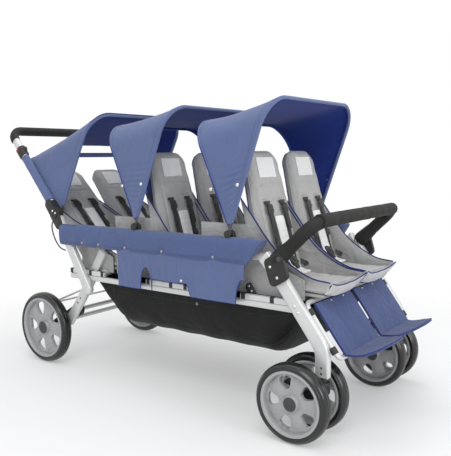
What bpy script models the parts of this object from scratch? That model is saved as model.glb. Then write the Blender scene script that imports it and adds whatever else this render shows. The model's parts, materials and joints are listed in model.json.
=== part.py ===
"""A folding six-seat stroller: three rows of two seats on one long frame.

Metres. +X is the way it rolls, +Y its left side, +Z up. The origin is on the floor, under the middle
of the stroller. Side views are drawn as (x, z) points counted from the front axle.
"""

import math

import bmesh
import bpy
from mathutils import Matrix, Vector

OBJECT_NAME = "six_seat_stroller"
CLEAR = 0.0003

# Wheels
FRONT_WHEEL_RADIUS = 0.125
REAR_WHEEL_RADIUS = 0.150
WHEEL_STEPS = 24
TYRE_WIDTH = 0.045
TYRE_DEPTH = 0.021
TYRE_LAND = 0.024
TYRE_SHOULDER = 0.009
RIM_WIDTH = 0.038
RIM_FLANGE = 0.009
WHEEL_DISC = 0.016
HUB_CAP_RADIUS = 0.023
HUB_CAP_RISE = 0.017
AXLE_RADIUS = 0.006
AXLE_CLEAR = 0.0005
AXLE_DEPTH = 0.012
SPOKES = 5
SPOKE_ANGLE = math.radians(30)
WINDOW_START = 0.036
WINDOW_MARGIN = 0.010
REAR_AXLE_BACK = 0.2734
TWIN_SPACING = 0.120
REAR_WHEEL_Y = 0.2925

# Casters
CASTER_TRAIL = 0.070
CASTER_THICK = 0.030
CASTER_CROWN_Z = 0.158
CASTER_CROWN_RADIUS = 0.019
CASTER_HUB_RADIUS = 0.021
STEM_RADIUS = 0.0145
SPACER_RADIUS = 0.012

# Frame planes and tube sizes
FRAME_Y = 0.294
TUBE_THICK = 0.024
LEG_WIDTH = 0.046
UPRIGHT_WIDTH = 0.040
RAIL_THICK = 0.016
LOWER_RAIL_HEIGHT = 0.020
UPPER_RAIL_HEIGHT = 0.025
REAR_LEG_THICK = 0.022
REAR_LEG_WIDTH = 0.040
TUBE_EASE = 0.007
RAIL_EASE = 0.004
PIN_RADIUS = 0.004
PIN_SHY = 0.0002

# Frame pivots: the four-bar side frame is a parallelogram
LOWER_RAIL_Z = 0.388
FRONT_PIVOT_X = -0.0104
RAIL_SPAN = 0.9802
REAR_PIVOT_X = FRONT_PIVOT_X - RAIL_SPAN
LINK_BACK = 0.1122
LINK_RISE = 0.157
LOWER_RAIL_ENDS = (0.008, 0.1144)
UPPER_RAIL_ENDS = (0.020, 0.020)

# Front leg
LEG_FOOT_Z = 0.198
LEG_KNEE_Z = 0.286
LEG_SHOULDER = (-0.095, 0.506)
LEG_TOP = (-0.141, 0.554)
LEG_BEND_RADIUS = 0.09

# Rear upright, hub and handle
UPRIGHT_FOOT = (REAR_PIVOT_X + 0.0126, 0.345)
HUB = (REAR_PIVOT_X - 0.1664, 0.642)
HUB_DISC_RADIUS = 0.0265
HUB_PIN_RADIUS = 0.006
HUB_GAP = 0.032
HUB_NECK = 0.045
HANDLE_LENGTH = 0.452
HANDLE_LEAN = math.radians(-40.7)
HANDLE_CORNER = 0.050
HANDLE_WIDE = 0.034
GRIP_WIDE = 0.041
GRIP_THICK = 0.032
GRIP_ARM = 0.004
SLIDE_PLACE = 0.330
SLIDE_LENGTH = 0.045
SLIDE_WALL = 0.005

# Rear leg
REAR_LEG_FOOT = (REAR_PIVOT_X - 0.1664, 0.175)
REAR_LEG_KNEE = (REAR_PIVOT_X - 0.0434, 0.336)
REAR_LEG_HEAD = (REAR_PIVOT_X + 0.0666, 0.502)
BRACKET_THICK = 0.0151
BRACKET_TOP = (REAR_PIVOT_X - 0.1194, 0.235)
BRACKET_TOP_RADIUS = 0.026
BRACKET_FOOT_RADIUS = 0.022
CROSS_TUBE_RADIUS = 0.009
CROSS_TUBE_UPPER = (REAR_PIVOT_X - 0.1244, 0.234)
CROSS_TUBE_LOWER = (REAR_PIVOT_X - 0.1494, 0.195)

# Brake bar
BRAKE_ROD_RADIUS = 0.0045
BRAKE_PIVOT = (REAR_PIVOT_X - 0.0394, 0.345)
BRAKE_ARM_Y = 0.2335
BRAKE_LENGTH = 0.2915
BRAKE_LEAN = math.radians(-112.2)
BRAKE_CORNER = 0.030
BRAKE_EYE = 0.008

# Rows
ROWS = ("front", "middle", "rear")
ROW_PITCH = 0.430
RECLINE_BACK = 0.219
RECLINE_Z = 0.437
RECLINE_RADIUS = 0.008
PLATE_RADIUS = 0.0135
PLATE_THICK = 0.0062
PLATE_FORWARD = 0.020
SEAT_BAR_BACK = 0.055
SEAT_BAR_RADIUS = 0.014
SIDE_BAR_HEIGHT = 0.020
SIDE_BAR_FRONT = 0.040
SIDE_BAR_REAR = 0.245

# Seats
SEAT_OUTER_Y = 0.241
SEAT_INNER_Y = 0.008
PAN_FRONT = 0.045
PAN_DEPTH = 0.193
PAN_BOARD = 0.010
CUSHION_RISE = 0.022
WING_THICK = 0.006
WING_RISE = 0.128
WING_NOSE = 0.010
BACK_WIDTH = 0.220
BACK_FOOT_RISE = 0.021
BACK_FOOT_FORWARD = 0.067
BACK_HEIGHT = 0.440
BACK_LEAN = math.radians(14.2)
BACK_THICK = 0.038
BACK_CORNER = 0.055
BACK_CENTRE_Y = 0.128
EYE_RADIUS = 0.013
EYE_WIDTH = 0.050
REAR_ROW_RECLINE = math.radians(27)

# Padded side covers
BOLSTER_TOP = 0.602
BOLSTER_BOTTOM = 0.518
BOLSTER_INNER_Y = 0.266
BOLSTER_OUTER_Y = 0.3165
BOLSTER_WALL = 0.010
BOLSTER_BACK = REAR_PIVOT_X - 0.1294
BOLSTER_PAD_BACK = REAR_PIVOT_X - 0.0294
BOLSTER_FRONT = -0.135
BOLSTER_NOSE = 0.120
BOLSTER_NOSE_SLANT = 0.714
BOLSTER_PUFF = 0.003
BOLSTER_PUFFS = 8
SKIRT_THICK = 0.003
SKIRT_HEM = 0.386
SKIRT_RAISED_HEM = 0.430
SKIRT_ARCH_TOP = 0.468
SKIRT_ARCH_HALF = 0.028
SKIRT_ARCH = -0.212
SKIRT_BACK = -0.785
SKIRT_FRONT = -0.205
SKIRT_RAISED_RUN = 0.165

# Canopies
BOW_RADIUS = 0.004
BOW_CORNER = 0.100
BOW_HALF_WIDTH = 0.297
REAR_BOW_HALF_WIDTH = 0.285
CANOPY_PIVOT_X = -0.275
CANOPY_PIVOT_RISE = 0.0135
FRONT_BOW_LENGTH = 0.4595
FRONT_BOW_LEANS = (math.radians(20), math.radians(22))
REAR_BOW_LENGTH = 0.403
REAR_BOW_LEAN = math.radians(-23.4)
BOW_EYE_RADIUS = 0.010
BOW_EYE_WIDTH = 0.009
BOW_BLOCK_WIDTH = 0.014
BOW_START = 0.030
CLOTH = 0.0025
CLOTH_GAP = 0.0007
CLOTH_SAG = 0.010
HOOD_BOW_HALF_WIDTH = 0.2725
HOOD_BOW_LENGTH = 0.440
HOOD_BOW_LEAN = math.radians(27)
HOOD_BACK_LENGTH = 0.303
HOOD_BACK_LEAN = math.radians(-38)
HOOD_EYE_WIDTH = 0.009
HOOD_SPREAD = 1.2
HOOD_CLOTH_RISE = 0.006

# Basket
BASKET_FRONT = -0.015
BASKET_LENGTH = 0.950
BASKET_DEPTH = 0.185
BASKET_RIM = LOWER_RAIL_Z - 0.002
BASKET_CLOTH = 0.003
BASKET_FOLD = 0.005
BASKET_FOLDS = 7
BASKET_REAR_RUN = 0.16
BASKET_FRONT_RUN = 0.16

# Grab bar
GRAB_RADIUS = 0.0215
GRAB_HALF_WIDTH = 0.2985
GRAB_START = (-0.075, 0.555)
GRAB_LENGTH = 0.165
GRAB_LEAN = math.radians(46.7)
GRAB_CORNER = 0.058
GRAB_CUP_RADIUS = 0.0235
GRAB_CUP_BACK = 0.022
GRAB_CUP_FRONT = 0.0155
GRAB_PLATE_THICK = 0.0157
GRAB_PLATE_REAR = (-0.128, 0.535)
GRAB_PLATE_LOW = (-0.098, 0.470)
GRAB_PLATE_FRONT = (-0.055, 0.500)
GRAB_PLATE_RADIUS = 0.018

# Footrests
FOOTREST_TOP = (0.016, 0.409)
FOOTREST_LENGTH = 0.1788
FOOTREST_LEAN = math.radians(143.6)
FOOTREST_THICK = 0.008
FOOTREST_INNER_Y = 0.008
FOOTREST_OUTER_Y = 0.250
FOOTREST_PANEL_SHARE = 2 / 7
TRAY_REACH = 0.113
TRAY_RISE = 0.035
TRAY_CORNER = 0.45
FOOT_RING_RADIUS = 0.008
FOOT_RING_ABOVE = 0.0137
FOOT_RING_CORNER = 0.022

# Places that follow from the sizes above
LEG_INNER_Y = FRAME_Y - TUBE_THICK / 2
LEG_OUTER_Y = FRAME_Y + TUBE_THICK / 2
WHEELBASE = REAR_AXLE_BACK - REAR_PIVOT_X
RAIL_Y = LEG_INNER_Y - CLEAR - RAIL_THICK / 2
RAIL_INNER_Y = RAIL_Y - RAIL_THICK / 2
RAIL_TOP = LOWER_RAIL_Z + LOWER_RAIL_HEIGHT / 2
REAR_LEG_Y = RAIL_INNER_Y - CLEAR - REAR_LEG_THICK / 2
REAR_LEG_INNER_Y = REAR_LEG_Y - REAR_LEG_THICK / 2
FRONT_AXLE_Z = FRONT_WHEEL_RADIUS * math.cos(math.pi / WHEEL_STEPS)
REAR_AXLE_Z = REAR_WHEEL_RADIUS * math.cos(math.pi / WHEEL_STEPS)
FRONT_LOWER = (FRONT_PIVOT_X, LOWER_RAIL_Z)
FRONT_UPPER = (FRONT_PIVOT_X - LINK_BACK, LOWER_RAIL_Z + LINK_RISE)
REAR_LOWER = (REAR_PIVOT_X, LOWER_RAIL_Z)
REAR_UPPER = (REAR_LOWER[0] - LINK_BACK, LOWER_RAIL_Z + LINK_RISE)
SLAB_LOW = LOWER_RAIL_Z + LINK_RISE + UPPER_RAIL_HEIGHT / 2 + CLEAR
CANOPY_PIVOT_Z = BOLSTER_TOP + CANOPY_PIVOT_RISE
GRIP_X = HUB[0] + HANDLE_LENGTH * math.sin(HANDLE_LEAN)
GRIP_REACH = GRIP_THICK / 2 + (GRIP_WIDE - GRIP_THICK) / 2 * math.cos(HANDLE_LEAN)
TRAY_START_X = FOOTREST_TOP[0] + FOOTREST_LENGTH * math.sin(FOOTREST_LEAN)
TRAY_EDGE = FOOTREST_THICK / 2 * math.sin(math.atan2(2 * TRAY_RISE, TRAY_REACH))
REAR_REACH = GRIP_X - GRIP_REACH
FRONT_REACH = TRAY_START_X + TRAY_REACH + TRAY_EDGE
FRONT_AXLE_X = -(FRONT_REACH + REAR_REACH) / 2

SIDES = (("left", 1), ("right", -1))


# Scene, materials and parenting


def clear_scene():
    for obj in list(bpy.data.objects):
        bpy.data.objects.remove(obj, do_unlink=True)


def collection(name):
    found = bpy.data.collections.new(name)
    bpy.context.scene.collection.children.link(found)
    return found


def paint(name, colour, roughness, metallic=0.0):
    material = bpy.data.materials.new(name)
    material.use_nodes = True
    shader = material.node_tree.nodes["Principled BSDF"]
    shader.inputs["Base Color"].default_value = (*colour, 1.0)
    shader.inputs["Roughness"].default_value = roughness
    shader.inputs["Metallic"].default_value = metallic
    material.diffuse_color = (*colour, 1.0)
    return material


def side_plane(y):
    """Local x and y are the side view's x and z, local z is -Y."""
    return Matrix.Translation((FRONT_AXLE_X, y, 0)) @ Matrix.Rotation(math.pi / 2, 4, "X")


def lean_plane(point, lean):
    """Local x is +Y and local y leans forward from +Z by the angle, from a point of the side view."""
    up = Vector((math.sin(lean), 0, math.cos(lean)))
    across = Vector((0, 1, 0))
    turn = Matrix((across, up, across.cross(up))).transposed().to_4x4()
    return Matrix.Translation((FRONT_AXLE_X + point[0], 0, point[1])) @ turn


def along_y(point, y):
    """Local z is +Y, at a point of the side view."""
    return Matrix.Translation((FRONT_AXLE_X + point[0], y, point[1])) @ Matrix.Rotation(-math.pi / 2, 4, "X")


def pivot(name, point, y=0.0, parent=None):
    """An empty on a joint's axis. What moves with the joint is parented to it."""
    empty = bpy.data.objects.new(name, None)
    empty.location = (FRONT_AXLE_X + point[0], y, point[1])
    PARTS.objects.link(empty)
    if parent:
        hang(empty, parent)
    return empty


def hang(obj, empty):
    bpy.context.view_layer.update()
    obj.parent = empty
    obj.matrix_parent_inverse = empty.matrix_world.inverted()


def helper(obj):
    """Keeps a cutter or a guide out of the part."""
    for owner in list(obj.users_collection):
        owner.objects.unlink(obj)
    CUTTERS.objects.link(obj)
    obj.hide_render = True
    obj.display_type = "WIRE"
    return obj


def name_piece(obj, name, material, parent=None):
    obj.name = name
    obj.data.name = name
    obj.data.materials.clear()
    obj.data.materials.append(material)
    if parent:
        hang(obj, parent)
    return obj


def smooth(obj, degrees=40):
    obj.data.shade_smooth()
    obj.data.set_sharp_from_angle(angle=math.radians(degrees))
    return obj


# Outlines of the side view


def arc(centre, radius, start, end, steps):
    return [
        (centre[0] + radius * math.cos(a), centre[1] + radius * math.sin(a))
        for a in (start + (end - start) * i / steps for i in range(steps + 1))
    ]


def capsule(first, first_radius, second, second_radius, steps=4):
    """The outline round two circles."""
    away = Vector(second) - Vector(first)
    turn = math.atan2(away.y, away.x)
    swing = math.acos((first_radius - second_radius) / away.length)
    near = arc(first, first_radius, turn + swing, turn + 2 * math.pi - swing, steps)
    far = arc(second, second_radius, turn - swing, turn + swing, steps)
    return near + far


def circle(centre, radius, steps=10):
    return arc(centre, radius, 0, 2 * math.pi * (steps - 1) / steps, steps - 1)


def rounded(points, radius, steps=4):
    """The path with each inner corner replaced by an arc."""
    path = [points[0]]
    for before, corner, after in zip(points, points[1:], points[2:]):
        into = (Vector(before) - Vector(corner)).normalized()
        out = (Vector(after) - Vector(corner)).normalized()
        half = into.angle(out) / 2
        reach = radius / math.tan(half)
        centre = Vector(corner) + (into + out).normalized() * radius / math.sin(half)
        first = Vector(corner) + into * reach - centre
        turn = first.angle_signed(Vector(corner) + out * reach - centre)
        start = math.atan2(first.y, first.x)
        path += arc(centre, radius, start, start - turn, steps)
    return path + [points[-1]]


def strip(path, half_width):
    """The outline of a flat tube of even width along a path of the side view."""
    left, right = [], []
    for i, point in enumerate(path):
        before = Vector(path[max(i - 1, 0)])
        after = Vector(path[min(i + 1, len(path) - 1)])
        along = (after - before).normalized()
        normal = Vector((-along.y, along.x)) * half_width
        left.append(tuple(Vector(point) + normal))
        right.append(tuple(Vector(point) - normal))
    return left + right[::-1]


def bezier(start, knee, end, steps=8):
    """A quadratic curve whose middle passes the knee."""
    control = 2 * Vector(knee) - (Vector(start) + Vector(end)) / 2
    return [
        tuple((1 - t) ** 2 * Vector(start) + 2 * t * (1 - t) * control + t * t * Vector(end))
        for t in (i / steps for i in range(steps + 1))
    ]


def hull(points):
    """The outline stretched round a set of points."""
    ordered = sorted(set(points))
    sides = []
    for run in (ordered, ordered[::-1]):
        kept = []
        for point in run:
            while len(kept) > 1 and turns_right(kept[-2], kept[-1], point):
                kept.pop()
            kept.append(point)
        sides.append(kept[:-1])
    return sides[0] + sides[1]


def turns_right(first, second, third):
    near = (second[0] - first[0], second[1] - first[1])
    far = (third[0] - first[0], third[1] - first[1])
    return near[0] * far[1] - near[1] * far[0] <= 1e-12


# Solids


def curve_object(name, plane, lines, cyclic, dimensions):
    data = bpy.data.curves.new(name, "CURVE")
    data.dimensions = dimensions
    for line in lines:
        spline = data.splines.new("POLY")
        spline.points.add(len(line) - 1)
        for point, place in zip(spline.points, line):
            point.co = (place[0], place[1], 0, 1)
        spline.use_cyclic_u = cyclic
    obj = bpy.data.objects.new(name, data)
    obj.matrix_world = plane
    PARTS.objects.link(obj)
    return obj


def flat(name, plane, outlines, thickness):
    """Flat outlines, thickened both ways."""
    obj = curve_object(name, plane, outlines, True, "2D")
    obj.data.fill_mode = "BOTH"
    obj.data.extrude = thickness / 2
    return as_mesh(obj)


def tube(name, plane, path, radius, cyclic=False, resolution=2):
    obj = curve_object(name, plane, [path], cyclic, "3D")
    obj.data.bevel_depth = radius
    obj.data.bevel_resolution = resolution
    obj.data.use_fill_caps = not cyclic
    return as_mesh(obj)


def oval_tube(name, plane, path, across, through):
    """A flat-oval tube: across is its width in the path's plane, through its width square to it."""
    small = min(across, through) / 2
    run = max(across, through) / 2 - small
    ends = [(-run, 0), (run, 0)] if across > through else [(0, -run), (0, run)]
    section = capsule(ends[0], small, ends[1], small, 4)
    guide = helper(curve_object(name + "_section", Matrix(), [section], True, "2D"))
    obj = curve_object(name, plane, [path], False, "3D")
    obj.data.twist_mode = "Z_UP"
    obj.data.bevel_mode = "OBJECT"
    obj.data.bevel_object = guide
    obj.data.use_fill_caps = True
    return as_mesh(obj)


def as_mesh(obj):
    """Makes a curve, or an object with modifiers, one plain closed mesh."""
    bpy.context.view_layer.update()
    graph = bpy.context.evaluated_depsgraph_get()
    data = bpy.data.meshes.new_from_object(obj.evaluated_get(graph))
    mesh = bmesh.new()
    mesh.from_mesh(data)
    bmesh.ops.remove_doubles(mesh, verts=mesh.verts, dist=1e-5)
    bmesh.ops.recalc_face_normals(mesh, faces=mesh.faces)
    mesh.to_mesh(data)
    mesh.free()
    made = bpy.data.objects.new(obj.name + "_solid", data)
    made.matrix_world = obj.matrix_world
    PARTS.objects.link(made)
    bpy.data.objects.remove(obj, do_unlink=True)
    return made


def data_of(obj):
    """Keeps an object's mesh and removes the object."""
    data = obj.data
    bpy.data.objects.remove(obj, do_unlink=True)
    return data


def ease(obj, width):
    """Rounds the long edges of a flat solid, as drawn tube has them."""
    mesh = bmesh.new()
    mesh.from_mesh(obj.data)
    bmesh.ops.dissolve_limit(mesh, angle_limit=math.radians(1), verts=mesh.verts, edges=mesh.edges)
    mesh.to_mesh(obj.data)
    mesh.free()
    bevel = obj.modifiers.new("bevel", "BEVEL")
    bevel.width = width
    bevel.segments = 1
    bevel.limit_method = "ANGLE"
    bevel.angle_limit = math.radians(60)
    return as_mesh(obj)


def boolean(obj, other, operation):
    modifier = obj.modifiers.new(operation.lower(), "BOOLEAN")
    modifier.operation = operation
    modifier.solver = "EXACT"
    modifier.object = helper(other)
    return obj


def join(obj, *others):
    for other in others:
        boolean(obj, other, "UNION")
    return obj


def cut(obj, *others):
    for other in others:
        boolean(obj, other, "DIFFERENCE")
    return obj


def box(low, high):
    """A box between two corners, with x counted from the front axle."""
    size = Vector(high) - Vector(low)
    middle = (Vector(high) + Vector(low)) / 2 + Vector((FRONT_AXLE_X, 0, 0))
    bpy.ops.mesh.primitive_cube_add(size=1, location=middle)
    return take_active(size)


def cylinder(point, y_low, y_high, radius, steps=10):
    """A round bar along Y, at a point of the side view."""
    bpy.ops.mesh.primitive_cylinder_add(radius=radius, depth=y_high - y_low, vertices=steps)
    obj = take_active()
    obj.matrix_world = along_y(point, (y_low + y_high) / 2)
    return obj


def upright_cylinder(point, y, height, radius, steps=16):
    """A round bar along Z whose middle is at a point of the side view."""
    place = (FRONT_AXLE_X + point[0], y, point[1])
    bpy.ops.mesh.primitive_cylinder_add(radius=radius, depth=height, vertices=steps, location=place)
    return take_active()


def take_active(scale=None):
    obj = bpy.context.active_object
    for owner in list(obj.users_collection):
        owner.objects.unlink(obj)
    PARTS.objects.link(obj)
    if scale:
        obj.data.transform(Matrix.Diagonal((*scale, 1)))
    return obj


def sided(side, low, high):
    """The Y span of something between two distances from the middle plane, on one side."""
    return (low, high) if side > 0 else (-high, -low)


def turned(name, profile, closed):
    """A turned shape about local Z from (radius, height) points that run down its outer side."""
    data = bpy.data.meshes.new(name)
    edges = [(i, i + 1) for i in range(len(profile) - 1)]
    if closed:
        edges.append((len(profile) - 1, 0))
    data.from_pydata([(r, 0, h) for r, h in profile], edges, [])
    obj = bpy.data.objects.new(name, data)
    PARTS.objects.link(obj)
    screw = obj.modifiers.new("screw", "SCREW")
    screw.axis = "Z"
    screw.steps = WHEEL_STEPS
    screw.render_steps = WHEEL_STEPS
    screw.use_merge_vertices = True
    screw.merge_threshold = 0.0001
    return obj


def grid(name, columns, rows, place):
    """An open sheet of columns x rows faces, each corner placed by a function of its two shares."""
    bpy.ops.mesh.primitive_grid_add(x_subdivisions=columns, y_subdivisions=rows, size=2)
    obj = take_active()
    obj.name = name
    for vertex in obj.data.vertices:
        vertex.co = place((vertex.co.x + 1) / 2, (vertex.co.y + 1) / 2)
    return obj


def thicken(obj, thickness, offset):
    solidify = obj.modifiers.new("solidify", "SOLIDIFY")
    solidify.thickness = thickness
    solidify.offset = offset
    solidify.use_even_offset = True
    return obj


# Wheels


def tyre_mesh(radius):
    half, land = TYRE_WIDTH / 2, TYRE_LAND / 2
    seat = radius - TYRE_DEPTH + CLEAR
    shoulder = radius - TYRE_SHOULDER
    profile = [(seat, half), (shoulder, half), (radius, land)]
    profile += [(r, -h) for r, h in reversed(profile)]
    return data_of(as_mesh(turned("tyre", profile, True)))


def rim_mesh(radius):
    seat = radius - TYRE_DEPTH
    inside = seat - RIM_FLANGE
    half, disc = RIM_WIDTH / 2, WHEEL_DISC / 2
    bore = AXLE_RADIUS + AXLE_CLEAR
    profile = [
        (0, HUB_CAP_RISE),
        (HUB_CAP_RADIUS * 0.8, HUB_CAP_RISE),
        (HUB_CAP_RADIUS, disc),
        (inside, disc),
        (inside, half),
        (seat, half),
        (seat, -half),
        (bore, -half),
        (bore, AXLE_DEPTH),
        (0, AXLE_DEPTH),
    ]
    rim = as_mesh(turned("rim", profile, False))
    outer = inside - WINDOW_MARGIN
    windows = []
    for i in range(SPOKES):
        middle = 2 * math.pi * (i + 0.5) / SPOKES
        reach = math.pi / SPOKES - SPOKE_ANGLE / 2
        narrow = reach * 0.75
        windows.append(
            arc((0, 0), outer, middle - reach, middle + reach, 2)
            + arc((0, 0), WINDOW_START, middle + narrow, middle - narrow, 1)
        )
    return data_of(as_mesh(cut(rim, flat("rim_windows", Matrix(), windows, 2 * RIM_WIDTH))))


def place_wheel(name, mesh, material, side, point, y, parent):
    obj = bpy.data.objects.new(name, mesh)
    PARTS.objects.link(obj)
    turn = Matrix.Rotation(-side * math.pi / 2, 4, "X") @ Matrix.Rotation(math.pi / WHEEL_STEPS, 4, "Z")
    obj.matrix_world = Matrix.Translation((FRONT_AXLE_X + point[0], y, point[1])) @ turn
    return smooth(name_piece(obj, name, material, parent))


def build_wheels(materials, casters):
    front_tyre, front_rim = tyre_mesh(FRONT_WHEEL_RADIUS), rim_mesh(FRONT_WHEEL_RADIUS)
    rear_tyre, rear_rim = tyre_mesh(REAR_WHEEL_RADIUS), rim_mesh(REAR_WHEEL_RADIUS)
    front, rear = (0.0, FRONT_AXLE_Z), (-WHEELBASE, REAR_AXLE_Z)
    for word, side in SIDES:
        for place, way in (("outer", 1), ("inner", -1)):
            y = side * (FRAME_Y + way * TWIN_SPACING / 2)
            turns = pivot(f"axis_front_wheel_{word}_{place}", front, y, casters[word])
            for kind, mesh in (("tyre", front_tyre), ("rim", front_rim)):
                name = f"{kind}_front_{word}_{place}"
                place_wheel(name, mesh, materials[kind], side * way, front, y, turns)
        turns = pivot(f"axis_rear_wheel_{word}", rear, side * REAR_WHEEL_Y)
        for kind, mesh in (("tyre", rear_tyre), ("rim", rear_rim)):
            place_wheel(f"{kind}_rear_{word}", mesh, materials[kind], side, rear, side * REAR_WHEEL_Y, turns)


def build_casters(materials, legs):
    """The two forks that swivel under the front legs, each with the axle of its twin wheels."""
    axle, crown = (0.0, FRONT_AXLE_Z), (CASTER_TRAIL, CASTER_CROWN_Z)
    found = {}
    for word, side in SIDES:
        y = side * FRAME_Y
        swivel = pivot(f"axis_caster_{word}", (CASTER_TRAIL, LEG_FOOT_Z), y, legs)
        outline = capsule(crown, CASTER_CROWN_RADIUS, axle, CASTER_HUB_RADIUS)
        fork = flat("fork", side_plane(y), [outline], CASTER_THICK)
        top = LEG_FOOT_Z - CLEAR
        middle = (top + CASTER_CROWN_Z) / 2
        stem = upright_cylinder((CASTER_TRAIL, middle), y, top - CASTER_CROWN_Z, STEM_RADIUS)
        reach = TWIN_SPACING / 2 + AXLE_DEPTH - CLEAR
        spacer = TWIN_SPACING / 2 - RIM_WIDTH / 2 - CLEAR
        pin = cylinder(axle, y - reach, y + reach, AXLE_RADIUS)
        collar = cylinder(axle, y - spacer, y + spacer, SPACER_RADIUS)
        name_piece(join(fork, stem, collar, pin), f"caster_fork_{word}", materials["black_plastic"], swivel)
        found[word] = swivel
    return found


# Frame


def rail(name, pivots, ends, height, material, side, parent):
    """A side rail with round ends, and the two studs that the legs turn on."""
    front, rear = pivots
    half = height / 2
    outline = capsule((rear[0] - ends[1] + half, rear[1]), half, (front[0] + ends[0] - half, front[1]), half)
    bar = ease(flat(name, side_plane(side * RAIL_Y), [outline], RAIL_THICK), RAIL_EASE)
    span = sided(side, RAIL_Y, LEG_OUTER_Y - PIN_SHY)
    pins = [cylinder(point, *span, PIN_RADIUS) for point in pivots]
    return name_piece(join(bar, *pins), name, material, parent)


def build_rails(materials, upper_frame):
    lower, upper = (FRONT_LOWER, REAR_LOWER), (FRONT_UPPER, REAR_UPPER)
    silver = materials["silver"]
    for word, side in SIDES:
        rail(f"lower_rail_{word}", lower, LOWER_RAIL_ENDS, LOWER_RAIL_HEIGHT, silver, side, None)
        rail(f"upper_rail_{word}", upper, UPPER_RAIL_ENDS, UPPER_RAIL_HEIGHT, silver, side, upper_frame)


def pin_holes(side, points):
    """Cutters for the holes that a leg turns on."""
    span = sided(side, RAIL_Y, LEG_OUTER_Y + PIN_RADIUS)
    return [cylinder(point, *span, PIN_RADIUS + CLEAR) for point in points]


def build_front_legs(materials, legs):
    corners = [(CASTER_TRAIL, LEG_FOOT_Z), (CASTER_TRAIL, LEG_KNEE_Z), LEG_SHOULDER, LEG_TOP]
    outline = strip(rounded(corners, LEG_BEND_RADIUS), LEG_WIDTH / 2)
    for word, side in SIDES:
        leg = ease(flat("leg", side_plane(side * FRAME_Y), [outline], TUBE_THICK), TUBE_EASE)
        leg = cut(leg, *pin_holes(side, (FRONT_LOWER, FRONT_UPPER)))
        name_piece(leg, f"front_leg_{word}", materials["silver"], legs)


def lap_plate(lean, side, inside):
    """Half of a fold hub: a disc with a neck along its own tube, half as thick as the tube."""
    neck = (HUB[0] + HUB_NECK * math.sin(lean), HUB[1] + HUB_NECK * math.cos(lean))
    outline = capsule(HUB, HUB_DISC_RADIUS, neck, HUB_DISC_RADIUS * 0.6)
    half = TUBE_THICK / 2 - CLEAR
    y = side * (FRAME_Y - TUBE_THICK / 4 if inside else FRAME_Y + TUBE_THICK / 4)
    return flat("lap", side_plane(y), [outline], half)


def build_uprights(materials, uprights):
    """The rear uprights, from a round foot below the lower rail up to the fold hub and its pin."""
    along = (Vector(HUB) - Vector(UPRIGHT_FOOT)).normalized()
    lean = math.atan2(along.x, along.y) + math.pi
    half = UPRIGHT_WIDTH / 2
    outline = capsule(UPRIGHT_FOOT, half, tuple(Vector(HUB) - along * (HUB_GAP + half)), half)
    for word, side in SIDES:
        bar = ease(flat("upright", side_plane(side * FRAME_Y), [outline], TUBE_THICK), TUBE_EASE)
        pin = cylinder(HUB, *sided(side, LEG_INNER_Y + PIN_RADIUS, LEG_OUTER_Y - PIN_SHY), HUB_PIN_RADIUS)
        bar = cut(bar, *pin_holes(side, (REAR_LOWER, REAR_UPPER)))
        upright = join(bar, lap_plate(lean, side, True), pin)
        name_piece(upright, f"rear_upright_{word}", materials["silver"], uprights)


def bent_path(start, half_width, length, corner):
    """A U of (across, along) points that opens downwards."""
    corners = [(-half_width, start), (-half_width, length), (half_width, length), (half_width, start)]
    return rounded(corners, corner)


def build_handle(materials, handle):
    """The bent push handle with its halves of the fold hubs, its foam grip and the two release slides."""
    plane = lean_plane(HUB, HANDLE_LEAN)
    path = bent_path(HUB_GAP, FRAME_Y, HANDLE_LENGTH, HANDLE_CORNER)
    frame = oval_tube("handle", plane, path, TUBE_THICK, HANDLE_WIDE)
    laps = [lap_plate(HANDLE_LEAN, side, False) for _, side in SIDES]
    spans = [sided(side, FRAME_Y, LEG_OUTER_Y + PIN_RADIUS) for _, side in SIDES]
    holes = [cylinder(HUB, *span, HUB_PIN_RADIUS + CLEAR) for span in spans]
    name_piece(cut(join(frame, *laps), *holes), "handle_frame", materials["silver"], handle)
    start = HANDLE_LENGTH - HANDLE_CORNER - GRIP_ARM
    thick, wide = TUBE_THICK + 2 * CLEAR, HANDLE_WIDE + 2 * CLEAR
    grip_path = bent_path(start, FRAME_Y, HANDLE_LENGTH, HANDLE_CORNER)
    grip = oval_tube("grip", plane, grip_path, GRIP_THICK, GRIP_WIDE)
    bore = oval_tube("grip_bore", plane, path, thick, wide)
    name_piece(cut(grip, bore), "handle_grip", materials["foam"], handle)
    middle = (HUB[0] + SLIDE_PLACE * math.sin(HANDLE_LEAN), HUB[1] + SLIDE_PLACE * math.cos(HANDLE_LEAN))
    for word, side in SIDES:
        moves = pivot(f"axis_release_{word}", middle, side * FRAME_Y, handle)
        lines = [
            [(side * FRAME_Y, SLIDE_PLACE - reach), (side * FRAME_Y, SLIDE_PLACE + reach)]
            for reach in (SLIDE_LENGTH / 2, SLIDE_LENGTH)
        ]
        sleeve = oval_tube("slide", plane, lines[0], thick + 2 * SLIDE_WALL, wide + 2 * SLIDE_WALL)
        bore = oval_tube("slide_bore", plane, lines[1], thick, wide)
        name_piece(cut(sleeve, bore), f"release_slide_{word}", materials["black_plastic"], moves)


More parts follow.
